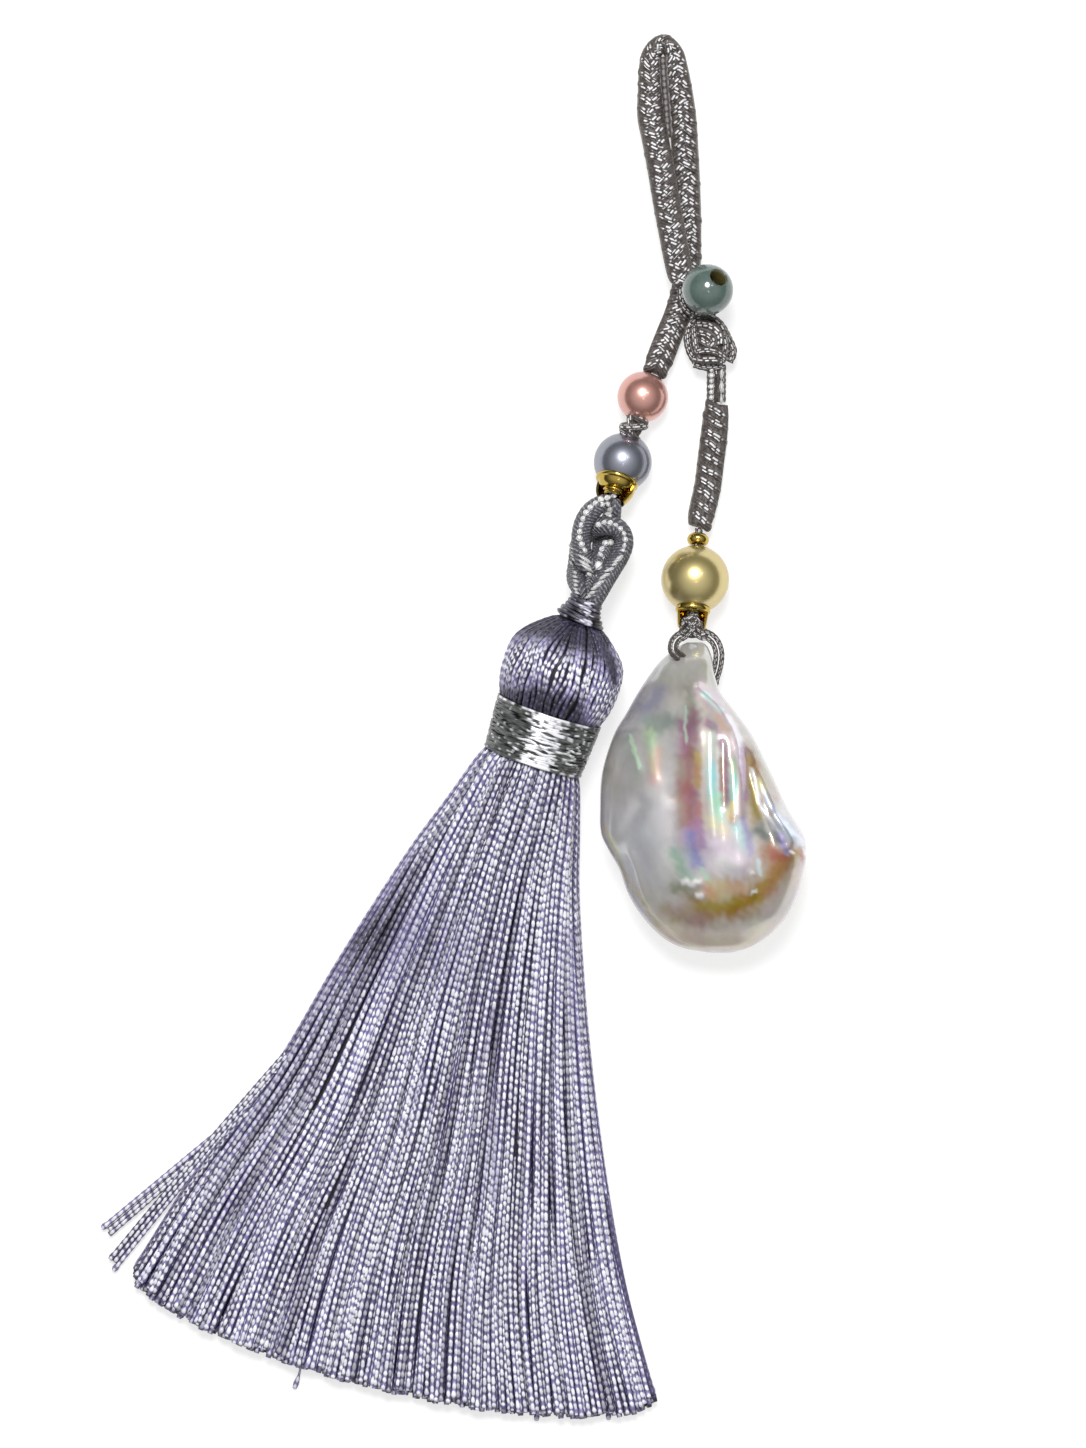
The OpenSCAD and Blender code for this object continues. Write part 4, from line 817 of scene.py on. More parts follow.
def snake_braid(shape, route, seed, over=False):
    """A snake knot braid along a route, of turns from the left and the right in pairs, or over its width."""
    dice = np.random.default_rng(seed)
    path = evenly(smooth(route), 0.05)
    at = lengths(path)
    _, side, normal = axes(path)
    hands = (1,) if over else (-1, 1)
    knots = round(at[-1] / KNOT_PITCH)
    for k in range(knots * len(hands)):
        pair, second = divmod(k, len(hands))
        middle = (pair + 0.45 + 0.1 * second) * at[-1] / knots
        share = np.interp(middle, at, path[:, 3])
        rows = finger(hands[second], share, over)
        local = evenly(smooth(rows + dice.normal(0, 0.04, rows.shape), 6), 0.17)
        where = np.clip(middle + local[:, 1], 0, at[-1])
        beyond = (middle + local[:, 1] - where)[:, None]
        tables = (np.gradient(path[:, :3], axis=0), path[:, :3], side, normal)
        way, centre, across, up = [look_up(where, at, table) for table in tables]
        turn = centre + beyond * unit(way) + local[:, :1] * across + local[:, 2:] * up
        spread = np.abs(local[:, 0]) / (BRAID_W / 2)
        # The shade mark: where the painted highlight of the silver dashes shows, on the parts of turns that
        # face up near the braid's middle.
        lit = ease(np.abs(local[:, 2]), 0.2, 0.45) * (1 - ease(spread, 0.28 if over else 0.36, 0.5))
        lit = lit * (0.75 + 0.25 * dice.random())
        outward = local[:, :1] * 0.8 * across + local[:, 2:] * 1.6 * up
        grid = tube_out(turn, FINGER_R * (0.7 + 0.3 * share), 14, outward, FINGER_FLAT)
        shape.rings(grid, beat=lengths(turn) / 0.7 + dice.random(), tone=dice.random(), shade=lit)
    ribbon(shape, evenly(path, 0.3))
    return path


shape = Shape()
path = snake_braid(shape, HANGING_ROUTE, 11)
# A dark cord in the gap at the braid's fold: painted shade.
rope(shape, FOLD_FILLING, 1.7, lay=3.2, shade=0.1, seed=13)
piece = shape.make("hanging_braid_cord", "metallic_braid", "hanging_braid")

shape = Shape()
snake_braid(shape, DROP_ROUTE, 12, True)
shape.make("drop_braid_cord", "metallic_braid", "drop_braid")


# Plain and twisted cords
def top_of(points, routes, d, low):
    """How high cords of one thickness reach at points of the top view, or the low height beside them."""
    height = np.full(len(points), low)
    for route in routes:
        path = evenly(smooth(route), 0.08)
        off = np.hypot(points[:, :1] - path[:, 0], points[:, 1:] - path[:, 1])
        over = path[:, 2] + np.sqrt(np.maximum((d / 2) ** 2 - off**2, 0)) - 9 * (off > d / 2)
        height = np.maximum(height, over.max(1))
    return height


def highlight_bead_row(shape, line, pitch, radius, height, seed=1):
    """A row of small white beads, painted highlights on a cord, along a line of the top view, at the heights
    given for its points.
    """
    path = evenly(smooth_line(line), pitch / 9)
    beads = lengths(path) / pitch
    size = 0.75 + 0.5 * np.random.default_rng(seed).random(int(beads.max()) + 2)[beads.astype(int)]
    swell = radius * (0.06 + 0.94 * size * np.abs(np.sin(math.pi * beads)) ** 0.6)
    shape.rings(tube_out(np.column_stack([path, height(path) - 0.3 * radius]), swell, 8), beat=beads)


def cords(name, node, *ropes):
    """A piece of plain cords: the route of each, its diameter, and how else it differs from the usual."""
    shape = Shape()
    for route, d, how in ropes:
        rope(shape, route, d, **how)
    shape.make(name, "metallic_braid", node)


cords("eye_cord", "eye_loop", (EYE_ROUTE, EYE_CORD_D, {"seed": 2}))
cords("bead_stem_cord", "bead_stem", (STEM_ROUTE, THREAD_D, {"seed": 3}))
twins = [[[x, y, z, 1] for y, z in TWIN_ROUTE] for x, _, _ in TWIN_CORDS]
# A dark cord in the groove between the twin cords: painted shade.
between = [[(TWIN_CORDS[0][0] + TWIN_CORDS[1][0]) / 2, y, z - 0.15] for y, z in TWIN_ROUTE[1:]]
cords("twin_cords", "twin_cord",
      *[(route, CORD_D, {"free": False, "seed": 4, "shade": 0.3}) for route in twins],
      (between, 0.7, {"shade": 0.0}))
# Painted highlights: rows of white beads along the tops of the twin cords.
beads = Shape()
for route, (x, pitch, radius) in zip(twins, TWIN_CORDS):
    highlight_bead_row(beads, [x, 36, x, 32.4], pitch, radius, lambda at: top_of(at, [route], CORD_D, 1.2))
beads.make("twin_cord_highlight_beads", "silk_cord", slot="metallic_braid")
cords("tassel_thread_cord", "tassel_thread", (PINK_THREAD_ROUTE, THREAD_D, {"seed": 5}),
      ([GREY_AT + at * GREY_AXIS for at in (-2.6, 3.8)], THREAD_D, {"seed": 6}))
cords("drop_thread_cord", "drop_thread",
      ([GOLDEN_AT + at * GOLDEN_AXIS for at in (-5.3, 3.7)], THREAD_D, {"seed": 7}))
fine = {"lay": 1.5, "step": 0.12, "sides": 9, "seed": 8}
loops = [(rows[:, :3] + turn * LOOP_APART * rows[:, 3:], FINE_CORD_D, fine)
         for turn in (-1, 1) for rows in (np.array(LOOP_LEFT_ROUTE), np.array(LOOP_RIGHT_ROUTE))]
cords("pearl_loop_cords", "pearl_loop", *loops, (PEARL_KNOT_FILLING, 0.8, {"seed": 8, "shade": 0.5}))


def loop_rope(route, filling):
    """A loop of fine-ribbed cord, with a dark cord that fills its bends, painted shade in the hole there."""
    shape = Shape()
    ribbed = {"free": False, "shade": 0.0, "pitch": 0.38}
    rope(shape, route, LOOP_D, plies=9, lay=5.0, step=0.12, sides=27, lift=0.05, **ribbed)
    rope(shape, filling, 1.5, plies=5, lay=3.0, **ribbed)
    return shape


def on_loops(points):
    return top_of(points, [CAP_LOOP_ROUTE[1:-2], TASSEL_LOOP_ROUTE], LOOP_D, 4.6)


# The cap's loop and the tassel's loop, with painted highlights on them: rows of white beads and slanting
# dashes
loop_rope(CAP_LOOP_ROUTE, LOOP_FILLING).make("cap_loop_rope", "silk_cord", "cap_loop")
shape = loop_rope(TASSEL_LOOP_ROUTE, FOOT_FILLING)
for k, (line, pitch, radius) in enumerate(HIGHLIGHT_BEADS):
    highlight_bead_row(shape, line, pitch, radius, on_loops, seed=k + 2)
dice = np.random.default_rng(9)
for start, end, count, reach, radius in LOOP_SLANTS:
    for share in (np.arange(count) + 0.5) / count:
        middle = np.array(start) + (np.array(end) - start) * share + dice.normal(0, 0.05, 2)
        half = np.array(reach) * (0.8 + 0.4 * dice.random())
        highlight_bead_row(shape, [middle - half, middle + half], 2 * math.hypot(*half) + 0.001, radius, on_loops)
shape.make("tassel_loop_rope", "silk_cord", "tassel_loop")


# Knots
def wind(shape, at, axis, radius, stretch, turns, seed):
    """Turns of cord round a ball. Columns of a turn: its normal across, up and along the ball's axis,
    how far it lies along that normal, the cord's radius, and how far it stands out."""
    dice = np.random.default_rng(seed)
    axis = unit(axis)
    side = unit(np.cross(axis, UP))
    basis = np.array([side, np.cross(side, axis), axis])
    phi = circle(56)
    for across, up, along, shift, cord_r, proud in turns:
        normal = unit((across, up, along))
        first = unit(np.cross(normal, (0.3, 0.1, 0.9) if abs(normal[2]) < 0.9 else (1, 0, 0)))
        reach = math.sqrt(max(radius**2 - shift**2, 0.2)) - cord_r + proud
        reach = reach * (1 + 0.03 * np.sin(3 * phi + dice.random() * TURN))
        ring = reach[:, None] * spokes(phi, first, np.cross(normal, first))
        ring = ((ring + shift * normal) * (1, 1, stretch)) @ basis
        way, over = ring_across(ring, unit(ring))
        grid = at + ring[:, None] + cord_r * spokes(circle(12), over, 0.85 * np.cross(over, way))
        shape.rings(grid, beat=phi * reach.mean() / 0.7, tone=dice.random(), joined=True,
                    shade=0.55 + 0.45 * dice.random())


def ball(shape, at, axis, radius, stretch):
    angle = np.linspace(0.12, math.pi - 0.12, 15)
    outline = np.stack([radius * np.sin(angle), -radius * stretch * np.cos(angle)], axis=1)
    shape.rings(lathe(outline, at, axis, circle(24)), shade=0.0)


shape = Shape()
at = np.array([25.6, 38.4, 2.35])
ball(shape, at, (0.05, 1, 0.05), 1.9, 1.19)
for k, (line, radius, proud) in enumerate(KNOT_CORDS):
    path = smooth_line(line)
    off = (path - at[:2]) / (1.95, 2.35)
    reach = 1.9 * np.sqrt(np.maximum(1 - (off**2).sum(1), 0.02)) + proud - 0.2
    for side in (1, -1):
        route = np.column_stack([path, np.maximum(at[2] + side * reach, radius)])
        rope(shape, route, 2 * radius, free=False, seed=40 + k, shade=1.0 - 0.25 * (k % 3))
shape.make("button_knot_cords", "metallic_braid", "button_knot")
for name, node, at, axis, inside, outside, seed, turns in SMALL_KNOTS:
    shape = Shape()
    ball(shape, at, axis, *inside)
    wind(shape, at, axis, *outside, turns, seed)
    shape.make(name, "metallic_braid", node)


# Beads, round pearls and gold bits
def drilled_ball(name, material, node, at, axis, d, mouth):
    """A ball with a hole along an axis, flaring to its mouths, where the shade falls to 0."""
    bore = BORE_D / 2
    end = math.sqrt((d / 2) ** 2 - mouth**2)
    tip = math.asin(2 * mouth / d)
    angle = np.linspace(tip, math.pi - tip, BALL_ROWS)
    outer = np.stack([d / 2 * np.sin(angle), -d / 2 * np.cos(angle)], axis=1)
    flare = [[mouth - 0.05, end - 0.02], [bore + 0.5 * (mouth - bore), end - 0.2], [bore, end - 0.5]]
    inner = flare + [[bore, s] for s in np.linspace(end - 0.9, 0.9 - end, 6)]
    inner += [[r, -s] for r, s in flare[::-1]]
    stained = np.concatenate([np.ones(BALL_ROWS), [0.5], np.zeros(len(inner) - 2), [0.5]])
    shape = Shape()
    shape.rings(lathe(np.vstack([outer, inner]), at, axis, circle(BALL_SIDES)), joined=True, shade=stained)
    shape.make(name, material, node)


def seat(radius, start, end, count):
    """Outline points on a pearl's skin, at distances from its middle along the axis."""
    return [[math.sqrt(radius**2 - s * s), s] for s in np.linspace(start, end, count)]


def gold_piece(name, node, at, axis, whole, part=(), start=0, end=0):
    """A gold bit: a closed outline turned round an axis, and one that covers a part of a turn, in degrees."""
    shape = Shape()
    shape.rings(lathe(whole, at, axis, circle(GOLD_SIDES)).swapaxes(0, 1), joined=True)
    if part:
        shape.rings(lathe(part, at, axis, np.radians(np.linspace(start, end, 60))).swapaxes(0, 1))
    piece = shape.make(name, "gold", node)
    piece.data.set_sharp_from_angle(angle=math.radians(SHARP_ANGLE))


for row in BALLS:
    drilled_ball(*row)

half_h = SPACER_H / 2
bulge = [[SPACER_D / 2 - half_h + half_h * math.cos(t), half_h * math.sin(t)]
         for t in np.linspace(-1.9, 1.9, 25)]
gold_piece("gold_spacer_ring", "gold_spacer", SPACER_AT, GOLDEN_AXIS,
           bulge + [[BORE_D / 2, 0.5], [BORE_D / 2, -0.5]])

seat_r = GOLDEN_D / 2 + 0.05
rim = math.sqrt(seat_r**2 - 1.72**2)
gold_piece("gold_cup_shell", "gold_cup", GOLDEN_AT, GOLDEN_AXIS, seat(seat_r, 3.38, rim + 0.02, 7) + [
    [1.72, rim], [1.76, rim + 0.1], [1.76, rim + 0.3], [1.72, rim + 0.4], [1.62, rim + 0.46],
    [1.3, seat_r + 0.18], [0.7, seat_r + 0.16],
], [
    [1.64, rim + 0.35], [1.55, rim + 1.0], [1.48, 4.6], [1.41, 4.95], [1.34, 5.02], [1.24, 4.98], [1.27, 4.6],
    [1.33, rim + 1.0], [1.42, rim + 0.35],
], 160, 380)

seat_r = GREY_D / 2 + 0.05
rim = math.sqrt(seat_r**2 - 2.1**2)
gold_piece("gold_cap_shell", "gold_cap", GREY_AT, GREY_AXIS, seat(seat_r, 2.86, rim + 0.02, 9) + [
    [2.1, rim], [2.15, rim + 0.08], [2.15, rim + 0.24], [2.08, rim + 0.34], [1.94, rim + 0.36],
    [1.84, rim + 0.4],
    [1.74, 2.72], [1.62, 2.9], [1.46, 3.05], [1.28, 3.15], [1.1, 3.2], [0.98, 3.24], [1.06, 3.28],
    [1.12, 3.36],
    [1.12, 3.44], [1.06, 3.52], [0.98, 3.56], [0.9, 3.6], [0.94, 3.66], [0.94, 3.78], [0.88, 3.84],
    [0.72, 3.84],
], [
    [2.03, rim + 0.3], [2.02, 2.9], [1.97, 3.25], [1.86, 3.6], [1.68, 3.95], [1.5, 4.25], [1.38, 4.42],
    [1.26, 4.4], [1.3, 4.2], [1.48, 3.85], [1.66, 3.5], [1.77, 3.15], [1.82, rim + 0.3],
], 150, 335)


# Baroque pearl
def near(x, y, line, half_width, power=2):
    """How near points of the top view lie to a table's line: 1 on it, falling off over its half width."""
    off = np.full(np.shape(x), 1e9)
    line = np.reshape(line, (-1, 2))
    for (x0, y0), end in zip(line[:-1], line[1:]):
        run = end - (x0, y0) + 1e-9
        share = np.clip(((x - x0) * run[0] + (y - y0) * run[1]) / (run @ run), 0, 1)
        off = np.minimum(off, np.hypot(x - x0 - share * run[0], y - y0 - share * run[1]))
    return np.exp(-((off / half_width) ** power))


def baroque_pearl():
    rings, top, under = 250, 210, 60
    rows = smooth_at(BAROQUE_SECTIONS, (len(BAROQUE_SECTIONS) - 1) * np.linspace(0, 1, rings))
    half_turn = np.concatenate([np.linspace(0, 0.5, top + 1)[:-1], np.linspace(0.5, 1, under + 1)[:-1]])
    angle = -TURN * (half_turn + 0.5)
    upper = np.maximum(0, np.sin(angle))
    _, left, right, bottom, crown = rows.T[..., None]
    x = (BAROQUE_AT[0] + (left + right) / 2 * BAROQUE_W
         + (right - left) / 2 * BAROQUE_W * (np.cos(angle) + CREST_ASIDE * upper**2))
    y = BAROQUE_AT[1] - BAROQUE_L * rows[:, :1] + 0 * x
    folds = sum(height * near(x, y, line, width) for line, width, height in BAROQUE_FOLDS)
    z = ((bottom + crown) / 2 + (crown - bottom) / 2 * np.sin(angle)) * BAROQUE_T + upper**0.7 * folds
    shape = Shape()
    shape.rings(np.stack([x, y, z], -1), shade=0.5 + 0.5 * ease(np.sin(angle), -0.3, 0.3)[None] + 0 * x)
    return shape.make("baroque_pearl_nacre", "nacre", "baroque_pearl")


def ripple(x, y, waves, dice):
    """A wavy value of about -1 to 1 over the top view, from waves of the lengths given, in random ways."""
    total = 0
    for length in waves:
        way = dice.random() * TURN
        bend = np.sin((x * math.sin(way) + y * math.cos(way)) * TURN / length / 1.7 + dice.random() * TURN)
        total = total + np.sin((x * math.cos(way) - y * math.sin(way)) * TURN / length + 1.3 * bend)
    return total / math.sqrt(len(waves))


def paint_nacre_and_light(piece):
    """Colours of the pearl's points, painted highlights and shade among them, with painted shade along the
    rim. The zones' edges ripple, and fade out on its underside.
    """
    count = len(piece.data.vertices)
    points, on_top = np.zeros(count * 3), np.zeros(count)
    piece.data.vertices.foreach_get("co", points)
    piece.data.attributes["shade"].data.foreach_get("value", on_top)
    x, y, _ = points.reshape(-1, 3).T / MM
    dice = np.random.default_rng(41)
    shown = np.tile(colour(*NACRE_BASE), (count, 1))
    shown *= (1 + 0.09 * ripple(x, y, (4.1, 2.9, 1.9), dice))[:, None]
    aside = [0.11 * ripple(x, y, (2.7, 1.6, 0.9), dice) for _ in range(2)]
    for line, width, strength, tint in NACRE_AND_LIGHT_ZONES:
        reach = min(1.0, 0.4 + width)
        share = near(x + reach * aside[0], y + 2 * reach * aside[1], line, width, 3 if width < 0.45 else 2)
        share = (strength * on_top * share)[:, None]
        shown = shown * (1 - share) + np.array(colour(*tint)) * share
    # Painted shade: a darker beige band along the rim.
    rim = RIM_STRENGTH * np.exp(-(((on_top - RIM_AT) / RIM_SPREAD) ** 2))[:, None]
    shown = shown * (1 - rim) + np.array(colour(*RIM_TINT)) * rim
    # The colours, painted highlights and shade included, go into the point colour named nacre.
    held = piece.data.color_attributes.new("nacre", "FLOAT_COLOR", "POINT")
    held.data.foreach_set("color", (np.clip(shown, 0, 1) ** NACRE_LIFT).ravel())


paint_nacre_and_light(baroque_pearl())

# Tassel. The two ways across its axis: to its right and up
ACROSS = unit((-TASSEL_AXIS[1], TASSEL_AXIS[0], 0))
ABOVE = np.cross(ACROSS, -TASSEL_AXIS)


def round_axis(along, radius, angle):
    """Points round the tassel's axis, and the ways out to them."""
    along, radius, angle = [v[..., None] for v in np.broadcast_arrays(along, radius, angle)]
    out = np.cos(angle) * ACROSS + np.sin(angle) * ABOVE
    return HEAD_AT + along * TASSEL_AXIS + radius * out, out


def patches(table, path, base):
    """How much of the painted highlight dashes shows at the points of a path: painted light and shade."""
    shown = base + sum(change * near(path[:, 0], path[:, 1], line, width) for line, width, change in table)
    return np.clip(shown, 0.03, 1)


def tassel_head():
    """Threads side by side over the head, drawn together at its top."""
    dice = np.random.default_rng(21)
    outline = evenly(smooth(HEAD_OUTLINE, 8) * (1, HEAD_D / 2), DASH_PITCH / 3)
    # A dark core under the threads: painted shade where they part.
    core = Shape()
    core.rings(round_axis(outline[:, :1], outline[:, 1:] - HEAD_CORE_INSET, -circle(48))[0], shade=0.0)
    core.make("tassel_head_core", "shaded_silk_core", "tassel_head", slot="silk")
    shape = Shape()
    along, radius = outline.T
    thread_r = np.minimum(THREAD_R, radius * TURN / HEAD_THREADS * 0.62 + 0.03)
    drawn = 1 - ease(along, -4.2, -1.5)
    for k in range(HEAD_THREADS):
        angle = TURN * (k + dice.normal(0, 0.14)) / HEAD_THREADS
        bend = angle + 0.03 * np.sin(along * 0.7 + k * 0.6)
        bend = bend + 0.015 * np.sin(along * 1.7 + dice.random() * TURN)
        depth = thread_r + dice.random() * (0.07 + 0.25 * drawn)
        path, out = round_axis(along, radius - depth, bend)
        beat = lengths(path) / DASH_PITCH * (1 + 0.12 * dice.random()) + dice.random()
        swell = thread_r * (0.94 + 0.1 * np.cos(TURN * beat))
        # Painted light: the highlight dashes show in a belt over the head and along its right side, and fade
        # into painted shade elsewhere.
        lit = patches(HEAD_PATCHES, path, 0.0) * (0.8 + 0.2 * dice.random())
        shape.rings(tube_out(path, swell, 6, out), beat=beat, tone=dice.random(), shade=lit)
    shape.make("tassel_head_threads", "silk")


def hoop(shape, along, radius, thread_r, phi, shade, tone):
    """A turn of thread round the tassel's axis."""
    path, out = round_axis(along, radius, phi)
    _, across = ring_across(path, out)
    beat = phi * np.mean(radius) / HOOP_PITCH
    shape.rings(path[:, None] + thread_r * spokes(circle(6), across, out), beat=beat, tone=tone,
                joined=True, shade=shade)


def waist_band():
    """Turns of metallic thread wound round the waist, with a painted highlight along the middle."""
    dice = np.random.default_rng(22)
    shape = Shape()
    rows = np.array([[4.65, 0.1], [BAND_D / 2 - 0.25, 0.15], [BAND_END_D / 2 - 0.25, BAND_H - 0.15],
                     [4.65, BAND_H - 0.1]])
    shape.rings(round_axis(BAND_FROM + rows[:, 1:], rows[:, :1], -circle(48))[0], shade=0.0, joined=True)
    phi = circle(120)
    # Painted highlight: the shade mark is high along the band's middle and a little to its right; the first
    # and last turns get a little more.
    glow = np.exp(-(np.abs(np.cos(phi) - 0.06) / 0.33) ** 4) * ease(np.sin(phi), -0.2, 0.2)
    shade = 0.1 + 0.9 * glow + 0.2 * ease(np.cos(phi), 0.35, 0.6)
    for k in range(BAND_TURNS):
        share = (k + 0.5) / BAND_TURNS
        wobble = sum(0.06 * np.sin(phi * n + dice.random() * TURN) for n in (2, 5, 9, 16))
        wobble = wobble * min(1, 4 * share, 4 * (1 - share))
        radius = (BAND_D + (BAND_END_D - BAND_D) * share) / 2 - 0.16 + 0.09 * dice.random()
        edge = 0.15 if k in (0, BAND_TURNS - 1) else 0.0
        hoop(shape, BAND_FROM + share * BAND_H + wobble, radius, 0.16, phi, shade + edge, dice.random())
    shape.make("waist_band_threads", "metallic_thread", "waist_band")


def neck_binding():
    """Turns of thread round the foot of the tassel's loop, in ridges that widen towards the head."""
    dice = np.random.default_rng(23)
    place, width = BINDING_OUTLINE.T
    shape = Shape()
    shape.rings(round_axis(place[:, None], width[:, None] - 0.2, -circle(32))[0], shade=0.0)
    phi = circle(84)
    # Painted highlight: the shade mark is high a little right of the middle and falls off to the sides.
    shade = np.exp(-(np.abs(np.cos(phi) - 0.2) / 0.4) ** 2) * ease(np.sin(phi), -0.2, 0.2)
    for k in range(BINDING_TURNS):
        share = (k + 0.5) / BINDING_TURNS
        along = place[0] + share * np.ptp(place)
        ridge = 0.14 * abs(math.sin(math.pi * BINDING_RIDGES * share))
        radius = np.interp(along, place, width) + ridge - 0.06
        tilt = 0.25 * np.cos(phi + 0.5) + 0.1 * np.sin(2 * phi + dice.random() * TURN)
        lit = shade * (0.35 + 0.65 * dice.random())
        hoop(shape, along + tilt, radius + 0.08 * dice.random(), 0.15, phi, lit, dice.random())
    shape.make("neck_binding_turns", "silk_wrap", "neck_binding", slot="silk_cord")


def skirt_ring(u):
    """Even points round the skirt's section at row number u, from the right edge over the top and back
    underneath, and half the way round."""
    row = smooth_at(SKIRT_SECTIONS, u)
    left, right = row[0:2], row[2:4]
    way = unit(right - left)
    turn = np.linspace(0, TURN, SKIRT_COLUMNS)
    power = 2 / row[6]
    across = 0.5 + 0.5 * np.sign(np.cos(turn)) * np.abs(np.cos(turn)) ** power
    sag = row[7] * np.sin(math.pi * across) ** 0.5
    plan = left + (right - left) * across[:, None] + sag[:, None] * (way[1], -way[0])
    height = row[4] + row[5] * np.sign(np.sin(turn)) * np.abs(np.sin(turn)) ** power
    ring = np.column_stack([plan, height])
    at = lengths(ring)
    return look_up(np.linspace(0, 1, SKIRT_COLUMNS + 1) * at[-1], at, ring), at[-1] / 2


def skirt_surface():
    """The points of the skirt's surface with their normals, and half the way round at each row."""
    rings = [skirt_ring(u) for u in np.linspace(0, len(SKIRT_SECTIONS) - 1, SKIRT_ROWS)]
    grid = np.array([ring for ring, _ in rings])
    normal = unit(np.cross(np.gradient(grid, axis=0), np.gradient(grid, axis=1)))
    outward = grid - grid.mean(axis=1, keepdims=True)
    normal = normal * np.sign(np.sum(normal * outward, axis=-1, keepdims=True))
    return np.concatenate([grid, normal], axis=-1), np.array([half for _, half in rings])


SKIRT, SKIRT_HALF = skirt_surface()


def strand(level, share, depth, step):
    """A strand's path and outward normals, for levels 0 to 1, its share of the way round and its depth."""
    i = np.clip(level * (SKIRT_ROWS - 1), 0, SKIRT_ROWS - 1.001)
    j = np.mod(share, 1) * SKIRT_COLUMNS + 0 * i
    i0, j0 = i.astype(int), np.minimum(j.astype(int), SKIRT_COLUMNS - 1)
    fi, fj = (i - i0)[:, None], (j - j0)[:, None]
    top = SKIRT[i0, j0] * (1 - fj) + SKIRT[i0, j0 + 1] * fj
    low = SKIRT[i0 + 1, j0] * (1 - fj) + SKIRT[i0 + 1, j0 + 1] * fj
    both = top * (1 - fi) + low * fi
    path = both[:, :3] - both[:, 3:] * np.reshape(depth, (-1, 1))
    both = evenly(np.column_stack([path, both[:, 3:]]), step)
    return both[:, :3], unit(both[:, 3:])


def fringe_thread(shape, path, out, radius, sides, beat, **marks):
    """A thread with the bead of its melted tip."""
    radius = radius * np.ones(len(path))
    radius[-3:] *= (1.12, 1.25, 0.95)
    shape.rings(tube_out(path, radius, sides, out), beat=beat, **marks)


def top_strands(dice):
    """The strands that show from above, and a layer under them. They drift together into locks and apart
    again, part along thin dark lines, and come up from five layers as the skirt widens."""
    phases = dice.random(len(LOCK_WAVES))
    partings = [(dice.integers(4, STRANDS - 4) + 0.5, dice.random(), 0.05 + 0.16 * dice.random())
                for _ in range(PARTINGS)]
    levels = np.linspace(0, 1, STRAND_POINTS)

    def aside(k):
        waves = [reach * np.sin(TURN * (k / apart + phase + turns * levels))
                 for (apart, reach, turns), phase in zip(LOCK_WAVES, phases)]
        return sum(waves) + sum(PARTING_REACH * np.sign(k - at) * math.exp(-abs(k - at) / 2.5)
                                * np.exp(-((levels - middle) / long) ** 4) for at, middle, long in partings)

    half = np.interp(levels, np.linspace(0, 1, SKIRT_ROWS), SKIRT_HALF)
    shown = half / half[-1] * (LAYERS + 0.4)
    beats = np.cumsum(0.2 + 0.3 * np.sin(np.arange(STRANDS) * 0.4) + dice.normal(0, 0.2, STRANDS))
    for name, first, last, deeper, sides, step, bright in (
        ("right", 0, STRANDS // 2, 0.0, 6, 2.7, 1.0), ("left", STRANDS // 2, STRANDS, 0.0, 6, 2.7, 1.0),
        ("deep", 0, STRANDS, 0.26, 4, 1.6, 0.7),
    ):
        shape = Shape()
        for k in range(first, last):
            buried = np.maximum(0, (2 * k) % LAYERS + 1 - shown) * LAYER_STEP
            start = levels[buried > BURIED][-1] if (buried > BURIED).any() else 0.0
            base = k + 0.5 + (0.5 if deeper else 0) + dice.normal(0, 0.12)
            relief = 0.08 * (1 + np.sin(TURN * (k / LOCK_WAVES[2][0] + 0.7 * levels)))
            sunk = buried + relief + THREAD_R + 0.22 * dice.random() + deeper
            end = 0.992 - 0.008 * dice.random() - 0.004 * math.sin(k * 0.7)
            turns, phase = 1.0 + 2.5 * dice.random(), dice.random()
            drift = aside(k) * (-0.5 if deeper else 1) + 0.38 * np.sin(TURN * (turns * levels + phase))
            level = np.linspace(start, end, STRAND_POINTS)
            path, out = strand(level, (base + np.interp(level, levels, drift)) / STRANDS / 2,
                               np.interp(level, levels, sunk), DASH_PITCH / step)
            at = lengths(path) + start * SKIRT_L
            beat = at / DASH_PITCH * (0.98 + 0.05 * dice.random()) + beats[k] + 0.5 * (deeper > 0)
            swell = THREAD_R * (0.92 + 0.18 * dice.random()) * (0.97 + 0.08 * np.cos(TURN * beat))
            tone = dice.random()
            # Painted light and shade: how much of the highlight dashes shows, from the patches, less on the
            # deep layer as painted shade, with random dimmer strands and slow changes along each.
            lit = patches(SKIRT_PATCHES, path, 0.98) * (0.82 + 0.18 * tone) * bright
            lit = lit * (0.5 if tone < 0.12 else 1)
            lit = lit * (0.88 + 0.16 * np.sin(TURN * (at / 3.3 + 0.21 * k + math.sin(k * 0.13))))
            fringe_thread(shape, path, out, swell, sides, beat, tone=tone, shade=lit)
        shape.make("tassel_skirt_threads_" + name, "silk")


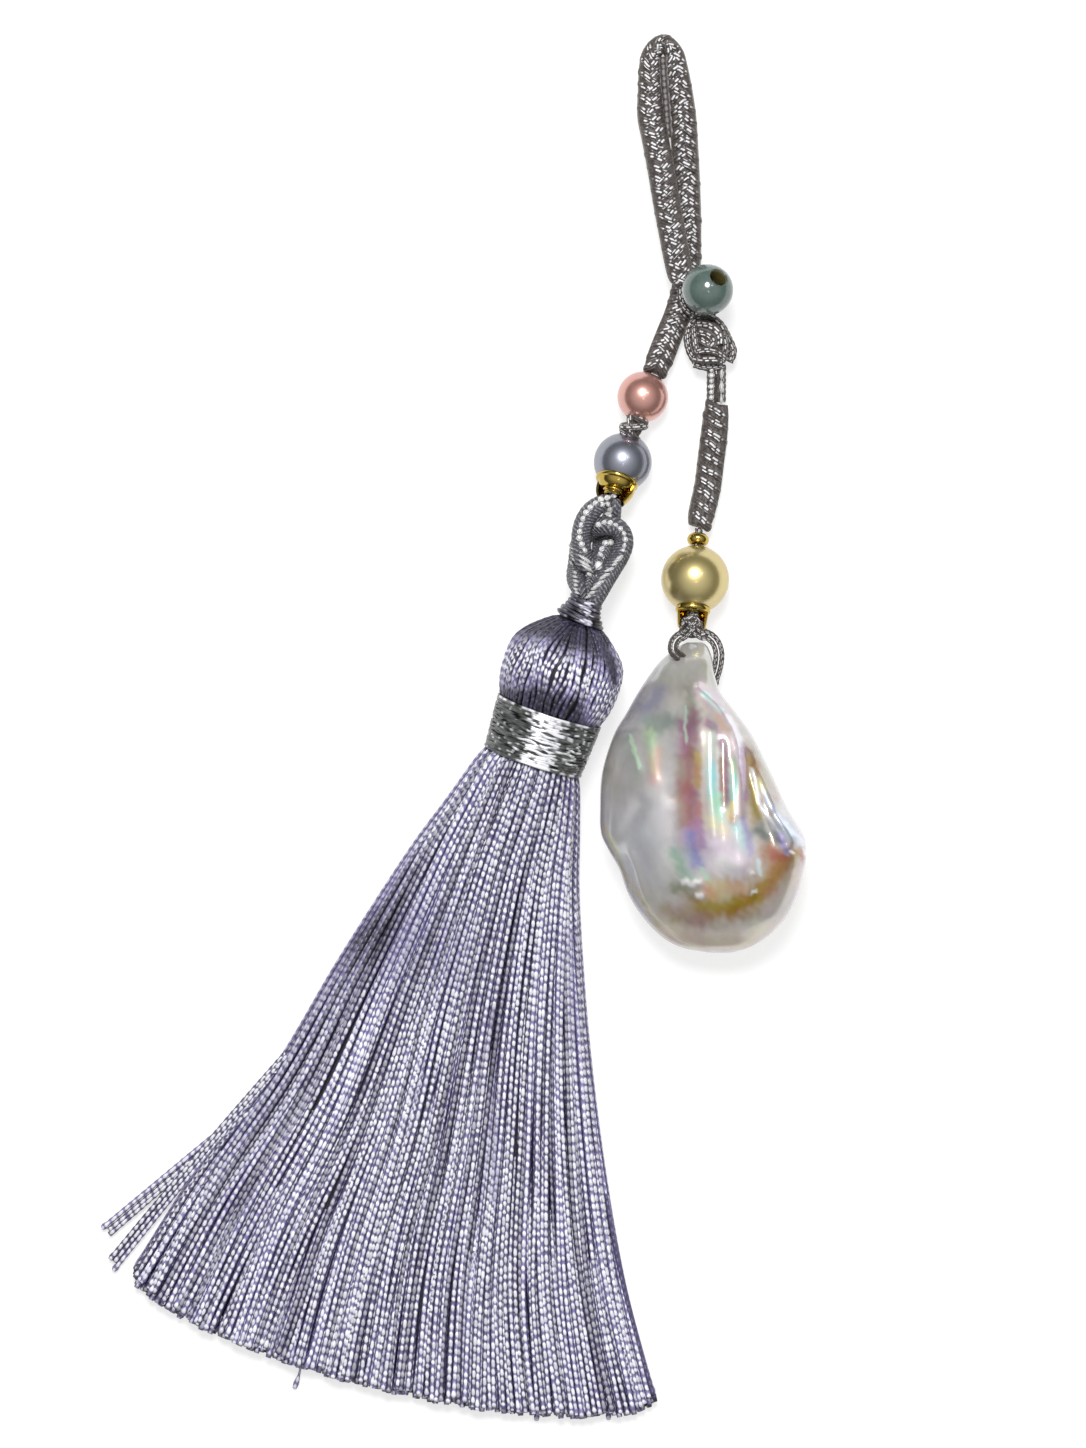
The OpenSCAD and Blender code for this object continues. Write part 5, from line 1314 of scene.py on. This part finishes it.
def hidden_strands(dice):
    """The ends of the strands that lie inside the skirt, and the strands on its underside."""
    inside, under = Shape(), Shape()
    # Painted shade: these strands show only part of their highlight dashes, half inside the skirt and a
    # little more underneath.
    for depth in INNER_DEPTHS:
        for k in range(INNER_STRANDS):
            base = (k + dice.random()) / INNER_STRANDS / 2
            level = np.linspace(0.84, 0.985 + 0.012 * dice.random(), STRAND_POINTS)
            path, out = strand(level, base, depth, DASH_PITCH / 1.5)
            beat = lengths(path) / DASH_PITCH + dice.random()
            fringe_thread(inside, path, out, THREAD_R, 4, beat, tone=dice.random(), shade=0.5)
    inside.make("tassel_skirt_threads_inside", "silk")
    for k in range(INNER_STRANDS):
        base = 0.5 + (k + 0.5 + dice.normal(0, 0.15)) / INNER_STRANDS / 2
        sunk = THREAD_R + 0.1 * dice.random()
        level = np.linspace(0.0, 0.985 + 0.01 * dice.random(), STRAND_POINTS)
        path, out = strand(level, base, sunk, DASH_PITCH / 1.2)
        beat = lengths(path) / DASH_PITCH + dice.random()
        fringe_thread(under, path, out, THREAD_R, 4, beat, tone=dice.random(), shade=0.6)
    under.make("tassel_skirt_threads_under", "silk")


def loose_strands(dice):
    """Two locks that stray from the skirt's left side, and threads that hang out of the fringe."""
    shape = Shape()
    for route in STRAY_ROUTES:
        path = smooth(route)
        _, side, _ = axes(path)
        share = np.linspace(0.5, 1.1, len(path))[:, None]
        for k in (-1, 0, 1):
            aside = side * 0.45 * k * share + dice.normal(0, 0.06, 3) * (1, 1, 0.5)
            line = evenly(path + aside + (0, 0, 0.1 * (2 - abs(k))), DASH_PITCH / 3)[:-dice.integers(1, 9)]
            beat = lengths(line) / DASH_PITCH + dice.random()
            swell = THREAD_R * (0.9 + 0.12 * np.cos(TURN * beat))
            fringe_thread(shape, line, UP, swell, 6, beat, tone=dice.random(), shade=0.75)
    for x0, y0, x1, y1 in LOOSE_THREADS:
        line = evenly(smooth([[x0, y0, 1.2], [(x0 + x1) / 2 + 0.2, (y0 + y1) / 2, 0.7], [x1, y1, 0.35]]), 0.2)
        at = lengths(line)
        swell = np.interp(at / at[-1], [0, 0.6, 0.85, 1], [0.12, 0.12, 0.3, 0.2])
        shape.rings(tube_out(line, swell, 6), beat=at, tone=0.6, shade=0.6)
    shape.make("tassel_skirt_threads_loose", "silk")


tassel_head()
waist_band()
neck_binding()
# The skirt's dark core: painted shade where the strands part.
core = Shape()
core.rings(SKIRT[:-2:2, :-1:4, :3] - CORE_DEPTH * SKIRT[:-2:2, :-1:4, 3:], shade=0.0)
core.make("tassel_skirt_core", "shaded_silk_core", "tassel_skirt", slot="silk")
dice = np.random.default_rng(24)
top_strands(dice)
hidden_strands(dice)
loose_strands(dice)


# Floor and light
def floor():
    mesh = bpy.data.meshes.new("floor")
    mesh.from_pydata([(-3, -3, 0), (3, -3, 0), (3, 3, 0), (-3, 3, 0)], [], [(0, 1, 2, 3)])
    paint = Paint("floor", Base_Color=(0.42, 0.42, 0.42, 1), Roughness=0.9, Emission_Color=(1, 1, 1, 1),
                  Emission_Strength=0.66)
    mesh.materials.append(paint.material)
    made = bpy.data.objects.new("floor", mesh)
    bpy.context.scene.collection.objects.link(made)
    made.location.z = -0.02 * MM


def area_light(name, place, size, power):
    """A round light that faces the middle of the charm and isn't seen by the camera."""
    light = bpy.data.lights.new(name, "AREA")
    light.shape = "DISK"
    light.size = size
    light.energy = power
    made = bpy.data.objects.new(name, light)
    bpy.context.scene.collection.objects.link(made)
    made.location = place
    made.rotation_mode = "QUATERNION"
    made.rotation_quaternion = (-Vector(place)).to_track_quat("-Z", "Y")
    made.visible_camera = False


def studio():
    """A round lamp above, two small ones beside it, and a room brighter overhead than at its walls."""
    world = bpy.data.worlds.new("studio")
    world.use_nodes = True
    nodes, links = world.node_tree.nodes, world.node_tree.links
    height = nodes.new("ShaderNodeSeparateXYZ")
    links.new(nodes.new("ShaderNodeTexCoord").outputs["Generated"], height.inputs[0])
    glow = nodes.new("ShaderNodeMapRange")
    glow.interpolation_type = "SMOOTHSTEP"
    for socket, value in zip(glow.inputs[1:5], (0.25, 1.0, WALL_LIGHT, CEILING_LIGHT)):
        socket.default_value = value
    links.new(height.outputs[2], glow.inputs[0])
    links.new(glow.outputs[0], nodes["Background"].inputs["Strength"])
    nodes["Background"].inputs["Color"].default_value = (1, 1, 1, 1)
    bpy.context.scene.world = world
    area_light("key", (-0.02, 0.3, 0.75), 0.27, 4.9)
    area_light("right", (0.26, 0.26, 0.7), 0.07, 0.16)
    area_light("low", (0.05, -0.12, 0.8), 0.05, 0.08)
    bpy.context.scene.view_settings.view_transform = "Standard"


floor()
studio()
